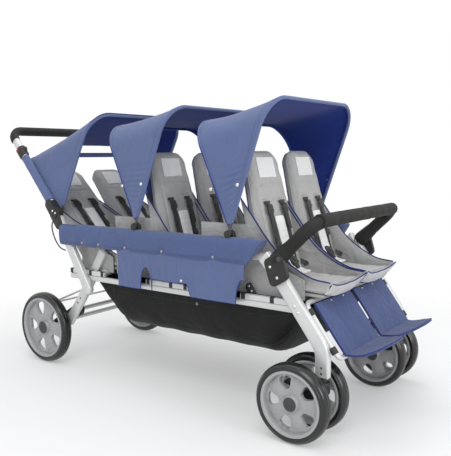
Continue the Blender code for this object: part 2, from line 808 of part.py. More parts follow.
def build_rear_legs(materials):
    """The curved rear legs, their wheel brackets and the two tubes across."""
    outline = strip(bezier(REAR_LEG_FOOT, REAR_LEG_KNEE, REAR_LEG_HEAD), REAR_LEG_WIDTH / 2)
    axle = (-WHEELBASE, REAR_AXLE_Z)
    outer = REAR_LEG_INNER_Y - CLEAR
    inner = outer - BRACKET_THICK
    for word, side in SIDES:
        leg = ease(flat("leg", side_plane(side * REAR_LEG_Y), [outline], REAR_LEG_THICK), TUBE_EASE)
        name_piece(leg, f"rear_leg_{word}", materials["silver"])
        middle = (inner + outer) / 2
        shape = capsule(BRACKET_TOP, BRACKET_TOP_RADIUS, axle, BRACKET_FOOT_RADIUS)
        bracket = flat("bracket", side_plane(side * middle), [shape], BRACKET_THICK)
        collar = cylinder(axle, *sided(side, middle, REAR_WHEEL_Y - RIM_WIDTH / 2 - CLEAR), SPACER_RADIUS)
        stub = cylinder(axle, *sided(side, middle, REAR_WHEEL_Y + AXLE_DEPTH - CLEAR), AXLE_RADIUS)
        name_piece(join(bracket, collar, stub), f"rear_wheel_bracket_{word}", materials["black_plastic"])
    for word, point in (("upper", CROSS_TUBE_UPPER), ("lower", CROSS_TUBE_LOWER)):
        bar = cylinder(point, CLEAR - inner, inner - CLEAR, CROSS_TUBE_RADIUS)
        smooth(name_piece(bar, f"rear_cross_tube_{word}", materials["silver"]))


def build_brake(materials):
    """The foot brake: a thin rod bent round between the rear wheels, hinged inside the rear legs."""
    pressed = pivot("axis_brake", BRAKE_PIVOT)
    path = bent_path(0, BRAKE_ARM_Y, BRAKE_LENGTH, BRAKE_CORNER)
    rod = tube("brake", lean_plane(BRAKE_PIVOT, BRAKE_LEAN), path, BRAKE_ROD_RADIUS)
    spans = [sided(side, BRAKE_ARM_Y - BRAKE_ROD_RADIUS, REAR_LEG_INNER_Y - CLEAR) for _, side in SIDES]
    eyes = [cylinder(BRAKE_PIVOT, *span, BRAKE_EYE) for span in spans]
    name_piece(join(rod, *eyes), "brake_bar", materials["dark_metal"], pressed)


def build_seat_frames(materials):
    """What carries each row: side bars on the rails, a cross bar, and the recline tube on its plates."""
    low = RAIL_TOP + CLEAR
    high = low + SIDE_BAR_HEIGHT
    bar_inner = RAIL_INNER_Y + CLEAR
    plate_y = RAIL_INNER_Y - CLEAR - PLATE_THICK / 2
    for row, word in enumerate(ROWS):
        back = -row * ROW_PITCH
        axis = (back - RECLINE_BACK, RECLINE_Z)
        foot = (axis[0] + PLATE_FORWARD / 2, low + PLATE_RADIUS)
        middle = low + SEAT_BAR_RADIUS + CLEAR / 2
        end = RAIL_INNER_Y - CLEAR
        bar = cylinder((back - SEAT_BAR_BACK, middle), -end, end, SEAT_BAR_RADIUS)
        parts = [cylinder(axis, -plate_y, plate_y, RECLINE_RADIUS)]
        for _, side in SIDES:
            near, far = sided(side, bar_inner, LEG_INNER_Y - 2 * CLEAR)
            parts.append(box((back - SIDE_BAR_REAR, near, low), (back - SIDE_BAR_FRONT, far, high)))
            near, far = sided(side, plate_y, bar_inner + PLATE_THICK / 2)
            for place, reach in ((axis[0], PLATE_FORWARD), (back - SEAT_BAR_BACK, SEAT_BAR_RADIUS / 2)):
                parts.append(box((place - reach, near, low + CLEAR), (place + reach, far, high - CLEAR)))
            outline = capsule(axis, PLATE_RADIUS, foot, PLATE_RADIUS)
            parts.append(flat("plate", side_plane(side * plate_y), [outline], PLATE_THICK))
        name_piece(join(bar, *parts), f"seat_frame_{word}", materials["silver"])


# Soft goods


def pillow(low, high, crown, draw, cuts=3):
    """A cushion between two corners whose broad sides swell and whose edges are drawn in."""
    size = Vector(high) - Vector(low)
    bpy.ops.mesh.primitive_cube_add(size=2)
    obj = take_active()
    mesh = bmesh.new()
    mesh.from_mesh(obj.data)
    bmesh.ops.subdivide_edges(mesh, edges=mesh.edges, cuts=cuts, use_grid_fill=True)
    mesh.to_mesh(obj.data)
    mesh.free()
    for vertex in obj.data.vertices:
        x, y, z = vertex.co
        swell = (1 - x * x) * (1 - y * y)
        vertex.co.x = x * (1 - draw * (1 - (1 - y * y) ** 0.5) * 0.5 - draw * z * z * 0.5)
        vertex.co.y = y * (1 - draw * (1 - (1 - x * x) ** 0.5) * 0.5 - draw * z * z * 0.5)
        vertex.co.z = z * (1 - crown + crown * swell)
    middle = (Vector(high) + Vector(low)) / 2
    obj.data.transform(Matrix.Translation(middle) @ Matrix.Diagonal((*(size / 2), 1)))
    return obj


def wing_outline(front, rear, base):
    """The side wing of a seat: high at the back, in a hollow curve down to the front edge."""
    steps = 6
    top = []
    for i in range(steps + 1):
        t = i / steps
        top.append((rear + (front - rear) * t, base + WING_NOSE + (WING_RISE - WING_NOSE) * (1 - t) ** 1.6))
    return [(front, base), *reversed(top), (rear, base)]


def build_pans(materials):
    """One seat pan a row: a board with two cushions and the low wings beside them."""
    board_low = RAIL_TOP + 2 * CLEAR + 2 * SEAT_BAR_RADIUS
    board_top = board_low + PAN_BOARD
    shift = Matrix.Translation((FRONT_AXLE_X, 0, 0))
    for row, word in enumerate(ROWS):
        front = PAN_FRONT - row * ROW_PITCH
        rear = front - PAN_DEPTH
        pan = box((rear, -SEAT_OUTER_Y, board_low), (front, SEAT_OUTER_Y, board_top))
        extras = []
        for _, side in SIDES:
            span = sided(side, SEAT_INNER_Y + WING_THICK / 2, SEAT_OUTER_Y - WING_THICK / 2)
            low = (rear + CLEAR, span[0], board_low + CLEAR)
            high = (front - CLEAR, span[1], board_top + CUSHION_RISE)
            cushion = pillow(low, high, 0.35, 0.06)
            cushion.matrix_world = shift
            extras.append(cushion)
            for y in (SEAT_OUTER_Y - WING_THICK / 2, SEAT_INNER_Y + WING_THICK / 2):
                outline = wing_outline(front - WING_NOSE, rear + CLEAR, board_low + CLEAR)
                extras.append(flat("wing", side_plane(side * y), [outline], WING_THICK - CLEAR))
        name_piece(join(pan, *extras), f"seat_pan_{word}", materials["seat_cloth"])


def back_mesh():
    """A padded seat back in its own frame: x forward, y across, z up, its recline axis at the origin."""
    cuts = 3
    bpy.ops.mesh.primitive_cube_add(size=2)
    panel = take_active()
    mesh = bmesh.new()
    mesh.from_mesh(panel.data)
    bmesh.ops.subdivide_edges(mesh, edges=mesh.edges, cuts=cuts, use_grid_fill=True)
    mesh.to_mesh(panel.data)
    mesh.free()
    for vertex in panel.data.vertices:
        x, y, z = vertex.co
        swell = 0.62 + 0.38 * (1 - y ** 4) * (1 - z ** 6)
        round_in = BACK_CORNER / BACK_WIDTH * max(0.0, (z - 0.55) / 0.45) ** 2
        across = y * BACK_WIDTH / 2 * (1 - 0.04 * x * x - round_in)
        drop = BACK_CORNER * 0.30 * y ** 4 * max(0.0, z) ** 3
        up = (z + 1) / 2 * BACK_HEIGHT - drop
        depth = -BACK_THICK / 2 + x * BACK_THICK / 2 * swell
        lean = Matrix.Rotation(-BACK_LEAN, 3, "Y") @ Vector((depth, across, up))
        vertex.co = lean + Vector((BACK_FOOT_FORWARD, 0, BACK_FOOT_RISE))
    eye = free_cylinder(EYE_WIDTH, EYE_RADIUS)
    reach, rise = BACK_FOOT_FORWARD - BACK_THICK / 2, BACK_FOOT_RISE + EYE_RADIUS
    bpy.ops.mesh.primitive_cube_add(size=1)
    lug = take_active((reach + EYE_RADIUS, EYE_WIDTH - CLEAR, 1.6 * EYE_RADIUS))
    slant = Matrix.Rotation(-math.atan2(rise, reach), 4, "Y")
    lug.matrix_world = Matrix.Translation((reach / 2, 0, rise / 2)) @ slant
    bore = free_cylinder(2 * EYE_WIDTH, RECLINE_RADIUS + CLEAR)
    return data_of(as_mesh(cut(join(panel, lug, eye), bore)))


def free_cylinder(length, radius):
    along_y = (math.pi / 2, 0, 0)
    bpy.ops.mesh.primitive_cylinder_add(radius=radius, depth=length, vertices=16, rotation=along_y)
    return take_active()


def build_backs(materials):
    mesh = back_mesh()
    for row, row_word in enumerate(ROWS):
        axis = (-RECLINE_BACK - row * ROW_PITCH, RECLINE_Z)
        recline = REAR_ROW_RECLINE if row == len(ROWS) - 1 else 0.0
        for word, side in SIDES:
            obj = bpy.data.objects.new("back", mesh)
            PARTS.objects.link(obj)
            obj.location = (FRONT_AXLE_X + axis[0], side * BACK_CENTRE_Y, axis[1])
            obj.rotation_euler = (0, -recline, 0)
            smooth(obj, 50)
            obj.name = f"seat_back_{row_word}_{word}"
            if not mesh.materials:
                mesh.materials.append(materials["seat_cloth"])


def loft(name, rings):
    """A closed solid through rings of points, with its ends capped."""
    mesh = bmesh.new()
    loops = [[mesh.verts.new(point) for point in ring] for ring in rings]
    count = len(rings[0])
    for near, far in zip(loops, loops[1:]):
        for i in range(count):
            j = (i + 1) % count
            mesh.faces.new((near[i], near[j], far[j], far[i]))
    mesh.faces.new(loops[0][::-1])
    mesh.faces.new(loops[-1])
    bmesh.ops.triangulate(mesh, faces=mesh.faces)
    bmesh.ops.recalc_face_normals(mesh, faces=mesh.faces)
    data = bpy.data.meshes.new(name)
    mesh.to_mesh(data)
    mesh.free()
    obj = bpy.data.objects.new(name, data)
    PARTS.objects.link(obj)
    return obj


def bolster_ring(x, puff, padded, side):
    """A side cover's section: a padded slab over the upper rail and its outer wall, or the wall alone."""
    wall = BOLSTER_OUTER_Y - BOLSTER_WALL
    outer = BOLSTER_OUTER_Y - BOLSTER_PUFF + puff
    inner = BOLSTER_INNER_Y if padded else wall + CLEAR
    corner = BOLSTER_WALL
    points = [
        (wall, BOLSTER_BOTTOM),
        (outer - BOLSTER_PUFF / 3, BOLSTER_BOTTOM),
        (outer, (BOLSTER_BOTTOM + SLAB_LOW) / 2),
        (outer, BOLSTER_TOP - corner),
        (outer - corner * 0.6, BOLSTER_TOP),
        (inner + corner * (0.9 if padded else 0.1), BOLSTER_TOP),
        (inner, BOLSTER_TOP - corner),
        (inner, SLAB_LOW if padded else SLAB_LOW + corner),
        (wall, SLAB_LOW),
    ]
    return [(FRONT_AXLE_X + x - nose_shift(x, z), side * y, z) for y, z in points]


def nose_shift(x, z):
    """The front end slants back towards its foot, as the covers' ends do beside the front legs."""
    share = max(0.0, 1 - (BOLSTER_FRONT - x) / BOLSTER_NOSE)
    return share * BOLSTER_NOSE_SLANT * (BOLSTER_TOP - z)


def skirt_outline():
    """The cloth that hangs under a side cover, arched over the hinge plates and raised between rows."""
    top = BOLSTER_BOTTOM + BOLSTER_WALL
    second = SKIRT_ARCH - ROW_PITCH
    raised = second + SKIRT_ARCH_HALF
    outline = [(SKIRT_BACK, top), (SKIRT_BACK + SKIRT_THICK, SKIRT_HEM)]
    outline += skirt_arch(second, 50)
    outline += [(raised, SKIRT_RAISED_HEM), (raised + SKIRT_RAISED_RUN, SKIRT_RAISED_HEM)]
    outline += [(raised + 1.1 * SKIRT_RAISED_RUN, SKIRT_HEM)]
    outline += skirt_arch(SKIRT_ARCH, 85)
    return outline + [(SKIRT_FRONT, SKIRT_ARCH_TOP + 0.012), (SKIRT_FRONT, top)]


def skirt_arch(middle, last):
    rise = SKIRT_ARCH_TOP - SKIRT_HEM
    turns = [math.radians(180 - (180 - last) * i / 5) for i in range(6)]
    return [(middle + SKIRT_ARCH_HALF * math.cos(a), SKIRT_HEM + rise * math.sin(a)) for a in turns]


def build_bolsters(materials, upper_frame):
    """The padded side covers, which lie over the upper rails, each with its skirt."""
    stations = 2 * BOLSTER_PUFFS
    run = BOLSTER_FRONT - BOLSTER_PAD_BACK
    for word, side in SIDES:
        rings = [bolster_ring(x, 0, False, side) for x in (BOLSTER_BACK, BOLSTER_PAD_BACK - CLOTH)]
        for i in range(stations + 1):
            puff = BOLSTER_PUFF if i % 2 else 0
            rings.append(bolster_ring(BOLSTER_PAD_BACK + run * i / stations, puff, True, side))
        cover = loft("cover", rings)
        y = side * (BOLSTER_OUTER_Y - 0.65 * BOLSTER_WALL)
        skirt = flat("skirt", side_plane(y), [skirt_outline()], SKIRT_THICK)
        name_piece(join(cover, skirt), f"side_bolster_{word}", materials["blue_cloth"], upper_frame)


def bow_section(half_width, length, start, steps=4):
    """The U of a canopy bow, as (across, along) points, with the same count for every bow."""
    reach = min(BOW_CORNER, length - start - CLEAR)
    left = [(-half_width, start + (length - reach - start) * i / 2) for i in range(2)]
    left += arc((-half_width + reach, length - reach), reach, math.pi, math.pi / 2, steps)
    return left + [(0.0, length)] + [(-y, s) for y, s in reversed(left)]


def bow_rod(point, lean, half_width, length):
    return tube("bow", lean_plane(point, lean), bow_section(half_width, length, 0), BOW_RADIUS, resolution=0)


def canopy_point(row):
    return (CANOPY_PIVOT_X - row * ROW_PITCH, CANOPY_PIVOT_Z)


def cloth_between(front, back, rows=3, spread=1.0, window=None):
    """A canopy's cloth: a ruled sheet between two bow sections, dipping a little between them."""
    (front_plane, front_path), (back_plane, back_path) = front, back
    columns = len(front_path) - 1
    tallest = front_path[columns // 2][1]

    def place(u, v):
        i = round(u * columns)
        near = back_plane @ Vector((*back_path[i], 0))
        far = front_plane @ Vector((*front_path[i], 0))
        share = v ** spread
        point = near.lerp(far, share)
        point.z -= CLOTH_SAG * 4 * share * (1 - share) * front_path[i][1] / tallest
        return point

    sheet = grid("cloth", columns, rows, place)
    if window:
        cut_window(sheet, columns, rows, window)
    mesh = bmesh.new()
    mesh.from_mesh(sheet.data)
    bmesh.ops.recalc_face_normals(mesh, faces=mesh.faces)
    roof = max(mesh.faces, key=lambda face: face.calc_center_median().z)
    if roof.normal.z < 0:
        bmesh.ops.reverse_faces(mesh, faces=mesh.faces)
    mesh.to_mesh(sheet.data)
    mesh.free()
    return thicken(sheet, CLOTH, 1.0)


def cut_window(sheet, columns, rows, window):
    """Leaves out the faces of a sheet between two column counts in one row."""
    first, last, row = window
    mesh = bmesh.new()
    mesh.from_mesh(sheet.data)
    mesh.faces.ensure_lookup_table()
    gone = [mesh.faces[row * columns + i] for i in range(first, last)]
    bmesh.ops.delete(mesh, geom=gone, context="FACES")
    mesh.to_mesh(sheet.data)
    mesh.free()


def build_canopies(materials, upper_frame):
    """The front and middle canopies, each on a fixed rear bow and a front bow that folds back to it."""
    outside = BOW_RADIUS + CLOTH_GAP
    inner, outer = REAR_BOW_HALF_WIDTH - BOW_BLOCK_WIDTH / 2, REAR_BOW_HALF_WIDTH + BOW_BLOCK_WIDTH / 2
    for row, word in enumerate(ROWS[:-1]):
        point, lean = canopy_point(row), FRONT_BOW_LEANS[row]
        folds = pivot(f"axis_canopy_{word}", point, 0, upper_frame)
        front = bow_rod(point, lean, BOW_HALF_WIDTH, FRONT_BOW_LENGTH)
        spans = [sided(side, outer + CLEAR, outer + CLEAR + BOW_EYE_WIDTH) for _, side in SIDES]
        eyes = [cylinder(point, *span, BOW_EYE_RADIUS) for span in spans]
        name_piece(join(front, *eyes), f"canopy_front_bow_{word}", materials["dark_metal"], folds)
        rear = bow_rod(point, REAR_BOW_LEAN, REAR_BOW_HALF_WIDTH, REAR_BOW_LENGTH)
        blocks = [cylinder(point, *sided(side, inner, outer), BOW_EYE_RADIUS) for _, side in SIDES]
        for _, side in SIDES:
            low, high = sided(side, inner + CLEAR, outer - CLEAR)
            half = BOW_EYE_RADIUS - CLEAR
            blocks.append(box((point[0] - half, low, BOLSTER_TOP + CLEAR), (point[0] + half, high, point[1])))
        name_piece(join(rear, *blocks), f"canopy_rear_bow_{word}", materials["black_plastic"], upper_frame)
        front_path = bow_section(BOW_HALF_WIDTH + outside, FRONT_BOW_LENGTH + outside, BOW_START)
        back_path = bow_section(REAR_BOW_HALF_WIDTH + outside, REAR_BOW_LENGTH + outside, BOW_START)
        planes = lean_plane(point, lean), lean_plane(point, REAR_BOW_LEAN)
        cloth = cloth_between((planes[0], front_path), (planes[1], back_path))
        name_piece(cloth, f"canopy_cloth_{word}", materials["blue_cloth"], upper_frame)


def build_hood(materials, uprights):
    """The rear canopy, which turns on the fold hubs and reaches back between the handle tubes."""
    word = ROWS[-1]
    folds = pivot(f"axis_canopy_{word}", HUB, 0, uprights)
    front = bow_rod(HUB, HOOD_BOW_LEAN, HOOD_BOW_HALF_WIDTH, HOOD_BOW_LENGTH)
    outer = LEG_INNER_Y - CLEAR
    spans = [sided(side, outer - HOOD_EYE_WIDTH, outer) for _, side in SIDES]
    eyes = [cylinder(HUB, *span, BOW_EYE_RADIUS) for span in spans]
    name_piece(join(front, *eyes), f"canopy_front_bow_{word}", materials["dark_metal"], folds)
    half = HOOD_BOW_HALF_WIDTH + BOW_RADIUS + CLOTH_GAP
    front_path = bow_section(half, HOOD_BOW_LENGTH + BOW_RADIUS + HOOD_CLOTH_RISE, BOW_START)
    back_path = bow_section(half, HOOD_BACK_LENGTH, BOW_START)
    planes = lean_plane(HUB, HOOD_BOW_LEAN), lean_plane(HUB, HOOD_BACK_LEAN)
    cloth = cloth_between((planes[0], front_path), (planes[1], back_path), 4, HOOD_SPREAD, (5, 9, 1))
    name_piece(cloth, f"canopy_cloth_{word}", materials["blue_cloth"], uprights)


def basket_depth(share):
    """How far the basket hangs below its rim along its length, from back (0) to front (1)."""
    rear = min(1.0, share / BASKET_REAR_RUN)
    front = min(1.0, (1 - share) / BASKET_FRONT_RUN)
    return BASKET_DEPTH * math.sin(rear * math.pi / 2) * math.sin(front * math.pi / 2)


def build_basket(materials):
    """The long cloth basket, slung between the lower rails, with folds where the cloth gathers."""
    half = RAIL_INNER_Y - CLEAR - BASKET_CLOTH / 2

    def place(u, v):
        share = (1 - math.cos(math.pi * u)) / 2
        turn = math.pi * (v - 0.5)
        gather = BASKET_FOLD * (1 - math.cos(2 * math.pi * BASKET_FOLDS * share)) / 2
        across = half * abs(math.sin(turn)) ** 0.5 - gather * math.cos(turn)
        depth = basket_depth(share) * (1 - gather)
        x = FRONT_AXLE_X + BASKET_FRONT - BASKET_LENGTH * (1 - share)
        return Vector((x, math.copysign(max(across, 0), turn), BASKET_RIM - depth * math.cos(turn) ** 0.5))

    sheet = thicken(grid("basket", 16, 8, place), BASKET_CLOTH, 0.0)
    name_piece(sheet, "basket", materials["black_cloth"])


# Front fittings


def build_grab_bar(materials, legs):
    """The foam grab bar, in cups on the plates that hold it outside the front legs."""
    plane = lean_plane(GRAB_START, GRAB_LEAN)
    path = bent_path(0, GRAB_HALF_WIDTH, GRAB_LENGTH, GRAB_CORNER)
    bar = tube("grab", plane, path, GRAB_RADIUS, resolution=2)
    corners = (GRAB_PLATE_REAR, GRAB_PLATE_LOW, GRAB_PLATE_FRONT, GRAB_START)
    outline = hull([point for corner in corners for point in circle(corner, GRAB_PLATE_RADIUS)])
    parts = []
    for _, side in SIDES:
        y = side * (LEG_OUTER_Y + CLEAR + GRAB_PLATE_THICK / 2)
        line = [(side * GRAB_HALF_WIDTH, -GRAB_CUP_BACK), (side * GRAB_HALF_WIDTH, GRAB_CUP_FRONT)]
        parts.append(tube("cup", plane, line, GRAB_CUP_RADIUS, resolution=3))
        parts.append(flat("plate", side_plane(y), [outline], GRAB_PLATE_THICK))
    name_piece(join(bar, *parts), "grab_bar", materials["foam"], legs)


def footrest_sheet(side):
    """One footrest: a slanting panel that turns forward into a rounded tray."""
    low = FOOTREST_TOP[1] + FOOTREST_LENGTH * math.cos(FOOTREST_LEAN)
    top_x, bend_x = FRONT_AXLE_X + FOOTREST_TOP[0], FRONT_AXLE_X + TRAY_START_X

    def place(u, v):
        y = side * (FOOTREST_INNER_Y + (FOOTREST_OUTER_Y - FOOTREST_INNER_Y) * v)
        t = u / FOOTREST_PANEL_SHARE
        if t <= 1:
            return Vector((top_x + (bend_x - top_x) * t, y, FOOTREST_TOP[1] + (low - FOOTREST_TOP[1]) * t))
        share = (u - FOOTREST_PANEL_SHARE) / (1 - FOOTREST_PANEL_SHARE)
        share *= 1 - TRAY_CORNER * abs(2 * v - 1) ** 3
        return Vector((bend_x + TRAY_REACH * share, y, low + TRAY_RISE * share ** 2))

    return grid("footrest", 7, 8, place)


def build_footrests(materials, legs):
    back = FOOTREST_THICK / 2 + CLEAR + FOOT_RING_RADIUS
    plane = lean_plane(FOOTREST_TOP, FOOTREST_LEAN) @ Matrix.Translation((0, 0, back))
    corner = FOOT_RING_CORNER
    across = RAIL_Y - corner
    low, high = corner - FOOT_RING_ABOVE, FOOTREST_LENGTH - corner
    places = ((-across, low, 2), (across, low, 3), (across, high, 0), (-across, high, 1))
    path = []
    for x, y, quarter in places:
        path += arc((x, y), corner, quarter * math.pi / 2, (quarter + 1) * math.pi / 2, 4)
    ring = tube("ring", plane, path, FOOT_RING_RADIUS, cyclic=True)
    smooth(name_piece(ring, "footrest_frame", materials["silver"], legs))
    for word, side in SIDES:
        sheet = thicken(footrest_sheet(side), FOOTREST_THICK, 0.0)
        name_piece(sheet, f"footrest_{word}", materials["blue_cloth"], legs)


def build():
    materials = {
        "silver": paint("silver_paint", (0.69, 0.70, 0.69), 0.35, 0.4),
        "dark_metal": paint("dark_metal", (0.05, 0.05, 0.05), 0.4, 0.8),
        "black_plastic": paint("black_plastic", (0.025, 0.025, 0.024), 0.5),
        "foam": paint("foam", (0.040, 0.040, 0.036), 0.85),
        "tyre": paint("tyre_rubber", (0.020, 0.020, 0.020), 0.8),
        "rim": paint("rim_plastic", (0.45, 0.45, 0.45), 0.45),
        "blue_cloth": paint("blue_cloth", (0.12, 0.15, 0.37), 0.9),
        "seat_cloth": paint("seat_cloth", (0.44, 0.43, 0.40), 0.9),
        "black_cloth": paint("black_cloth", (0.015, 0.015, 0.016), 0.9),
    }
    legs = pivot("axis_chassis_fold", FRONT_LOWER)
    upper_frame = pivot("axis_upper_frame", FRONT_UPPER, 0, legs)
    uprights = pivot("axis_uprights", REAR_LOWER)
    handle = pivot("axis_handle", HUB, 0, uprights)
    build_rails(materials, upper_frame)
    build_front_legs(materials, legs)
    build_uprights(materials, uprights)
    build_handle(materials, handle)
    build_rear_legs(materials)
    build_brake(materials)
    build_wheels(materials, build_casters(materials, legs))
    build_seat_frames(materials)
    build_pans(materials)
    build_backs(materials)
    build_bolsters(materials, upper_frame)
    build_canopies(materials, upper_frame)
    build_hood(materials, uprights)
    build_basket(materials)
    build_grab_bar(materials, legs)
    build_footrests(materials, legs)


clear_scene()
PARTS = collection(OBJECT_NAME)
CUTTERS = collection("cutters")
build()
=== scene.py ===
"""Dresses the six-seat stroller: tube, wheels, seats, harnesses, covers, canopies and basket.

Metres. +X is the way it rolls, +Y its left side, +Z up. Side views are (x, z) points counted from the
front axle, as in the construction.
"""

import json
import logging
import math
import sys
from dataclasses import dataclass, field, replace
from enum import Enum
from typing import Callable, Optional, Sequence

import bmesh
import bpy
from mathutils import Matrix, Vector, noise

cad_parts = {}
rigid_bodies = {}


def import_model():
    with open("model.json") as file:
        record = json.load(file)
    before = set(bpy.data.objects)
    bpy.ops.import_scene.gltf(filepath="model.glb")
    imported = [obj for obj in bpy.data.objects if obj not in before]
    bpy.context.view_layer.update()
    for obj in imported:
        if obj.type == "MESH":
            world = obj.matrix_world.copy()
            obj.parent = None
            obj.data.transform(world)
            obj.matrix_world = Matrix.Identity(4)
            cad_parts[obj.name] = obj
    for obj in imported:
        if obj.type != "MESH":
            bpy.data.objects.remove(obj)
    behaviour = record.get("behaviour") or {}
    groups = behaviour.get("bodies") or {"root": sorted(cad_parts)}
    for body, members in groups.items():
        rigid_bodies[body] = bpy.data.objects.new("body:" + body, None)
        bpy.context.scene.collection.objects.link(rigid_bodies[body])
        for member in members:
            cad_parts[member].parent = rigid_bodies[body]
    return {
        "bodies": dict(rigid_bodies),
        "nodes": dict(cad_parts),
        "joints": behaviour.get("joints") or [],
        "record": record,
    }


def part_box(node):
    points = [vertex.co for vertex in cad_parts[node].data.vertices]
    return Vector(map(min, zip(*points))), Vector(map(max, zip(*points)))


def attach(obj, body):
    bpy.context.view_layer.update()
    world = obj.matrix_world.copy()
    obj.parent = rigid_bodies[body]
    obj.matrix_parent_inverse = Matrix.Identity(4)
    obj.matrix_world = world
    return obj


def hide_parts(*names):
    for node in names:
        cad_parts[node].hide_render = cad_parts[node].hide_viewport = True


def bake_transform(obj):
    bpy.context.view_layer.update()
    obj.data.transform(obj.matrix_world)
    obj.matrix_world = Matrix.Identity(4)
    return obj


LOG = logging.getLogger("stroller")
Point = tuple[float, float]
# local x is +Y, local y is up and local z is +X
STANDING = Matrix(((0, 0, 1, 0), (1, 0, 0, 0), (0, 1, 0, 0), (0, 0, 0, 1)))


class Side(Enum):
    """The two sides of the stroller."""

    LEFT = 1
    RIGHT = -1

    @property
    def word(self) -> str:
        """The side's name in node names."""
        return self.name.lower()


class Row(Enum):
    """The three rows of seats, counted from the front."""

    FRONT = 0
    MIDDLE = 1
    REAR = 2

    @property
    def word(self) -> str:
        """The row's name in node names."""
        return self.name.lower()

    @property
    def shift(self) -> float:
        """The row's x counted from the front row."""
        return -self.value * PLAN.row_pitch

    @property
    def recline(self) -> float:
        """How far the row's backs are laid back at rest."""
        return PLAN.rear_recline if self is Row.REAR else 0.0


@dataclass(frozen=True)
class Layout:
    """The places of the frame that the pieces are set against."""

    front_lower: Point = (-0.0104, 0.388)
    rear_lower: Point = (-0.9906, 0.388)
    hub: Point = (-1.157, 0.642)
    front_axle_z: float = 0.12393
    rear_axle: Point = (-1.264, 0.14872)
    row_pitch: float = 0.430
    recline: Point = (-0.219, 0.437)
    rear_recline: float = math.radians(27)
    frame_y: float = 0.294
    rail_y: float = 0.2737
    rail_z: float = 0.388
    upper_rail_z: float = 0.545
    seat_y: float = 0.128
    upright_foot: Point = (-0.978, 0.345)
    handle_lean: float = math.radians(-40.7)


PLAN = Layout()


class Frame:
    """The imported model: where its front axle is, and the body of each node."""

    axle_x: float = 0.0
    body_of: dict[str, str] = {}

    @classmethod
    def read(cls, loaded: dict) -> None:
        """Notes the bodies and the front axle's place.
        """
        cls.body_of = {n: b for b, names in loaded["record"]["behaviour"]["bodies"].items() for n in names}
        low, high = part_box("tyre_front_left_outer")
        cls.axle_x = (low.x + high.x) / 2


# Making pieces


def at(x: float, y: float, z: float) -> Vector:
    """A point of the row frame from a side-view x counted from the front axle."""
    return Vector((Frame.axle_x + x, y, z))


def choose(obj: bpy.types.Object) -> None:
    """Selects one object alone and makes it active."""
    bpy.ops.object.select_all(action="DESELECT")
    obj.select_set(True)
    bpy.context.view_layer.objects.active = obj


def edit(obj: bpy.types.Object, *steps: Callable[[], object]) -> None:
    """Runs steps in edit mode on all of a mesh.

    Args:
        obj: the mesh object.
        steps: operator calls, in order.
    """
    choose(obj)
    bpy.ops.object.mode_set(mode="EDIT")
    bpy.ops.mesh.select_all(action="SELECT")
    for step in steps:
        step()
    bpy.ops.object.mode_set(mode="OBJECT")


def outwards(obj: bpy.types.Object, merge: float = 1e-5) -> bpy.types.Object:
    """Merges doubles and turns all faces outwards."""
    edit(
        obj,
        lambda: bpy.ops.mesh.remove_doubles(threshold=merge),
        lambda: bpy.ops.mesh.normals_make_consistent(inside=False),
    )
    return obj


def modify(obj: bpy.types.Object, kind: str, **values: object) -> bpy.types.Object:
    """Adds one modifier with its values and applies it.

    Args:
        obj: the piece.
        kind: the modifier's type.
        values: its settings.

    Returns:
        The piece.
    """
    modifier = obj.modifiers.new(kind.lower(), kind)
    for name, value in values.items():
        setattr(modifier, name, value)
    choose(obj)
    bpy.ops.object.modifier_apply(modifier=modifier.name)
    return obj


def round_edges(
    obj: bpy.types.Object, width: float, segments: int = 3, angle: float = 50
) -> bpy.types.Object:
    """Bevels the sharp edges."""
    return modify(
        obj,
        "BEVEL",
        width=width,
        segments=segments,
        limit_method="ANGLE",
        angle_limit=math.radians(angle),
        harden_normals=False,
    )


def shade(obj: bpy.types.Object, degrees: float) -> None:
    """Smooth shading with sharp edges kept."""
    choose(obj)
    bpy.ops.object.shade_smooth_by_angle(angle=math.radians(degrees), keep_sharp_edges=False)


def piece(
    obj: bpy.types.Object,
    name: str,
    finish: "Finish | Sequence[Finish]",
    body: str,
    replaces: Sequence[str] = (),
    smooth: float = 40,
) -> bpy.types.Object:
    """Names and paints a finished shape, and lets it ride.

    Args:
        obj: the shape, with its place in its mesh or its matrix.
        name: the piece's name.
        finish: one finish, or several in slot order.
        body: the body that it rides on, or "" for none.
        replaces: the nodes that it stands for.
        smooth: the angle in degrees up to which its faces are shaded as one.

    Returns:
        The piece.
    """
    obj.data.transform(obj.matrix_world)
    obj.matrix_world = Matrix()
    obj.name = name
    obj.data.name = name
    finishes = [finish] if isinstance(finish, Finish) else list(finish)
    used = [min(p.material_index, len(finishes) - 1) for p in obj.data.polygons]
    obj.data.materials.clear()
    for one in finishes:
        obj.data.materials.append(one.material())
    obj.data.polygons.foreach_set("material_index", used)
    shade(obj, smooth)
    if replaces:
        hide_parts(*replaces)
    if body:
        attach(obj, body)
    return obj


def side_plane(y: float) -> Matrix:
    """Local x and y are the side view's x and z, local z is -Y."""
    return Matrix.Translation((Frame.axle_x, y, 0)) @ Matrix.Rotation(math.pi / 2, 4, "X")


def lean_plane(point: Point, lean: float) -> Matrix:
    """Local x is +Y and local y leans forward from +Z by the angle, from a point of the side view."""
    up = Vector((math.sin(lean), 0, math.cos(lean)))
    across = Vector((0, 1, 0))
    turn = Matrix((across, up, across.cross(up))).transposed().to_4x4()
    return Matrix.Translation(at(point[0], 0, point[1])) @ turn


def along(direction: Vector, place: Vector) -> Matrix:
    """A place whose local z runs along a direction."""
    return Matrix.Translation(place) @ direction.to_track_quat("Z", "Y").to_matrix().to_4x4()


def facing(side: Side, y: float, points: Sequence[Point]) -> list[tuple[Vector, Vector]]:
    """Side-view points on a side's outer face, each with the direction outwards."""
    out = Vector((0, side.value, 0))
    return [(at(x, side.value * y, z), out) for x, z in points]


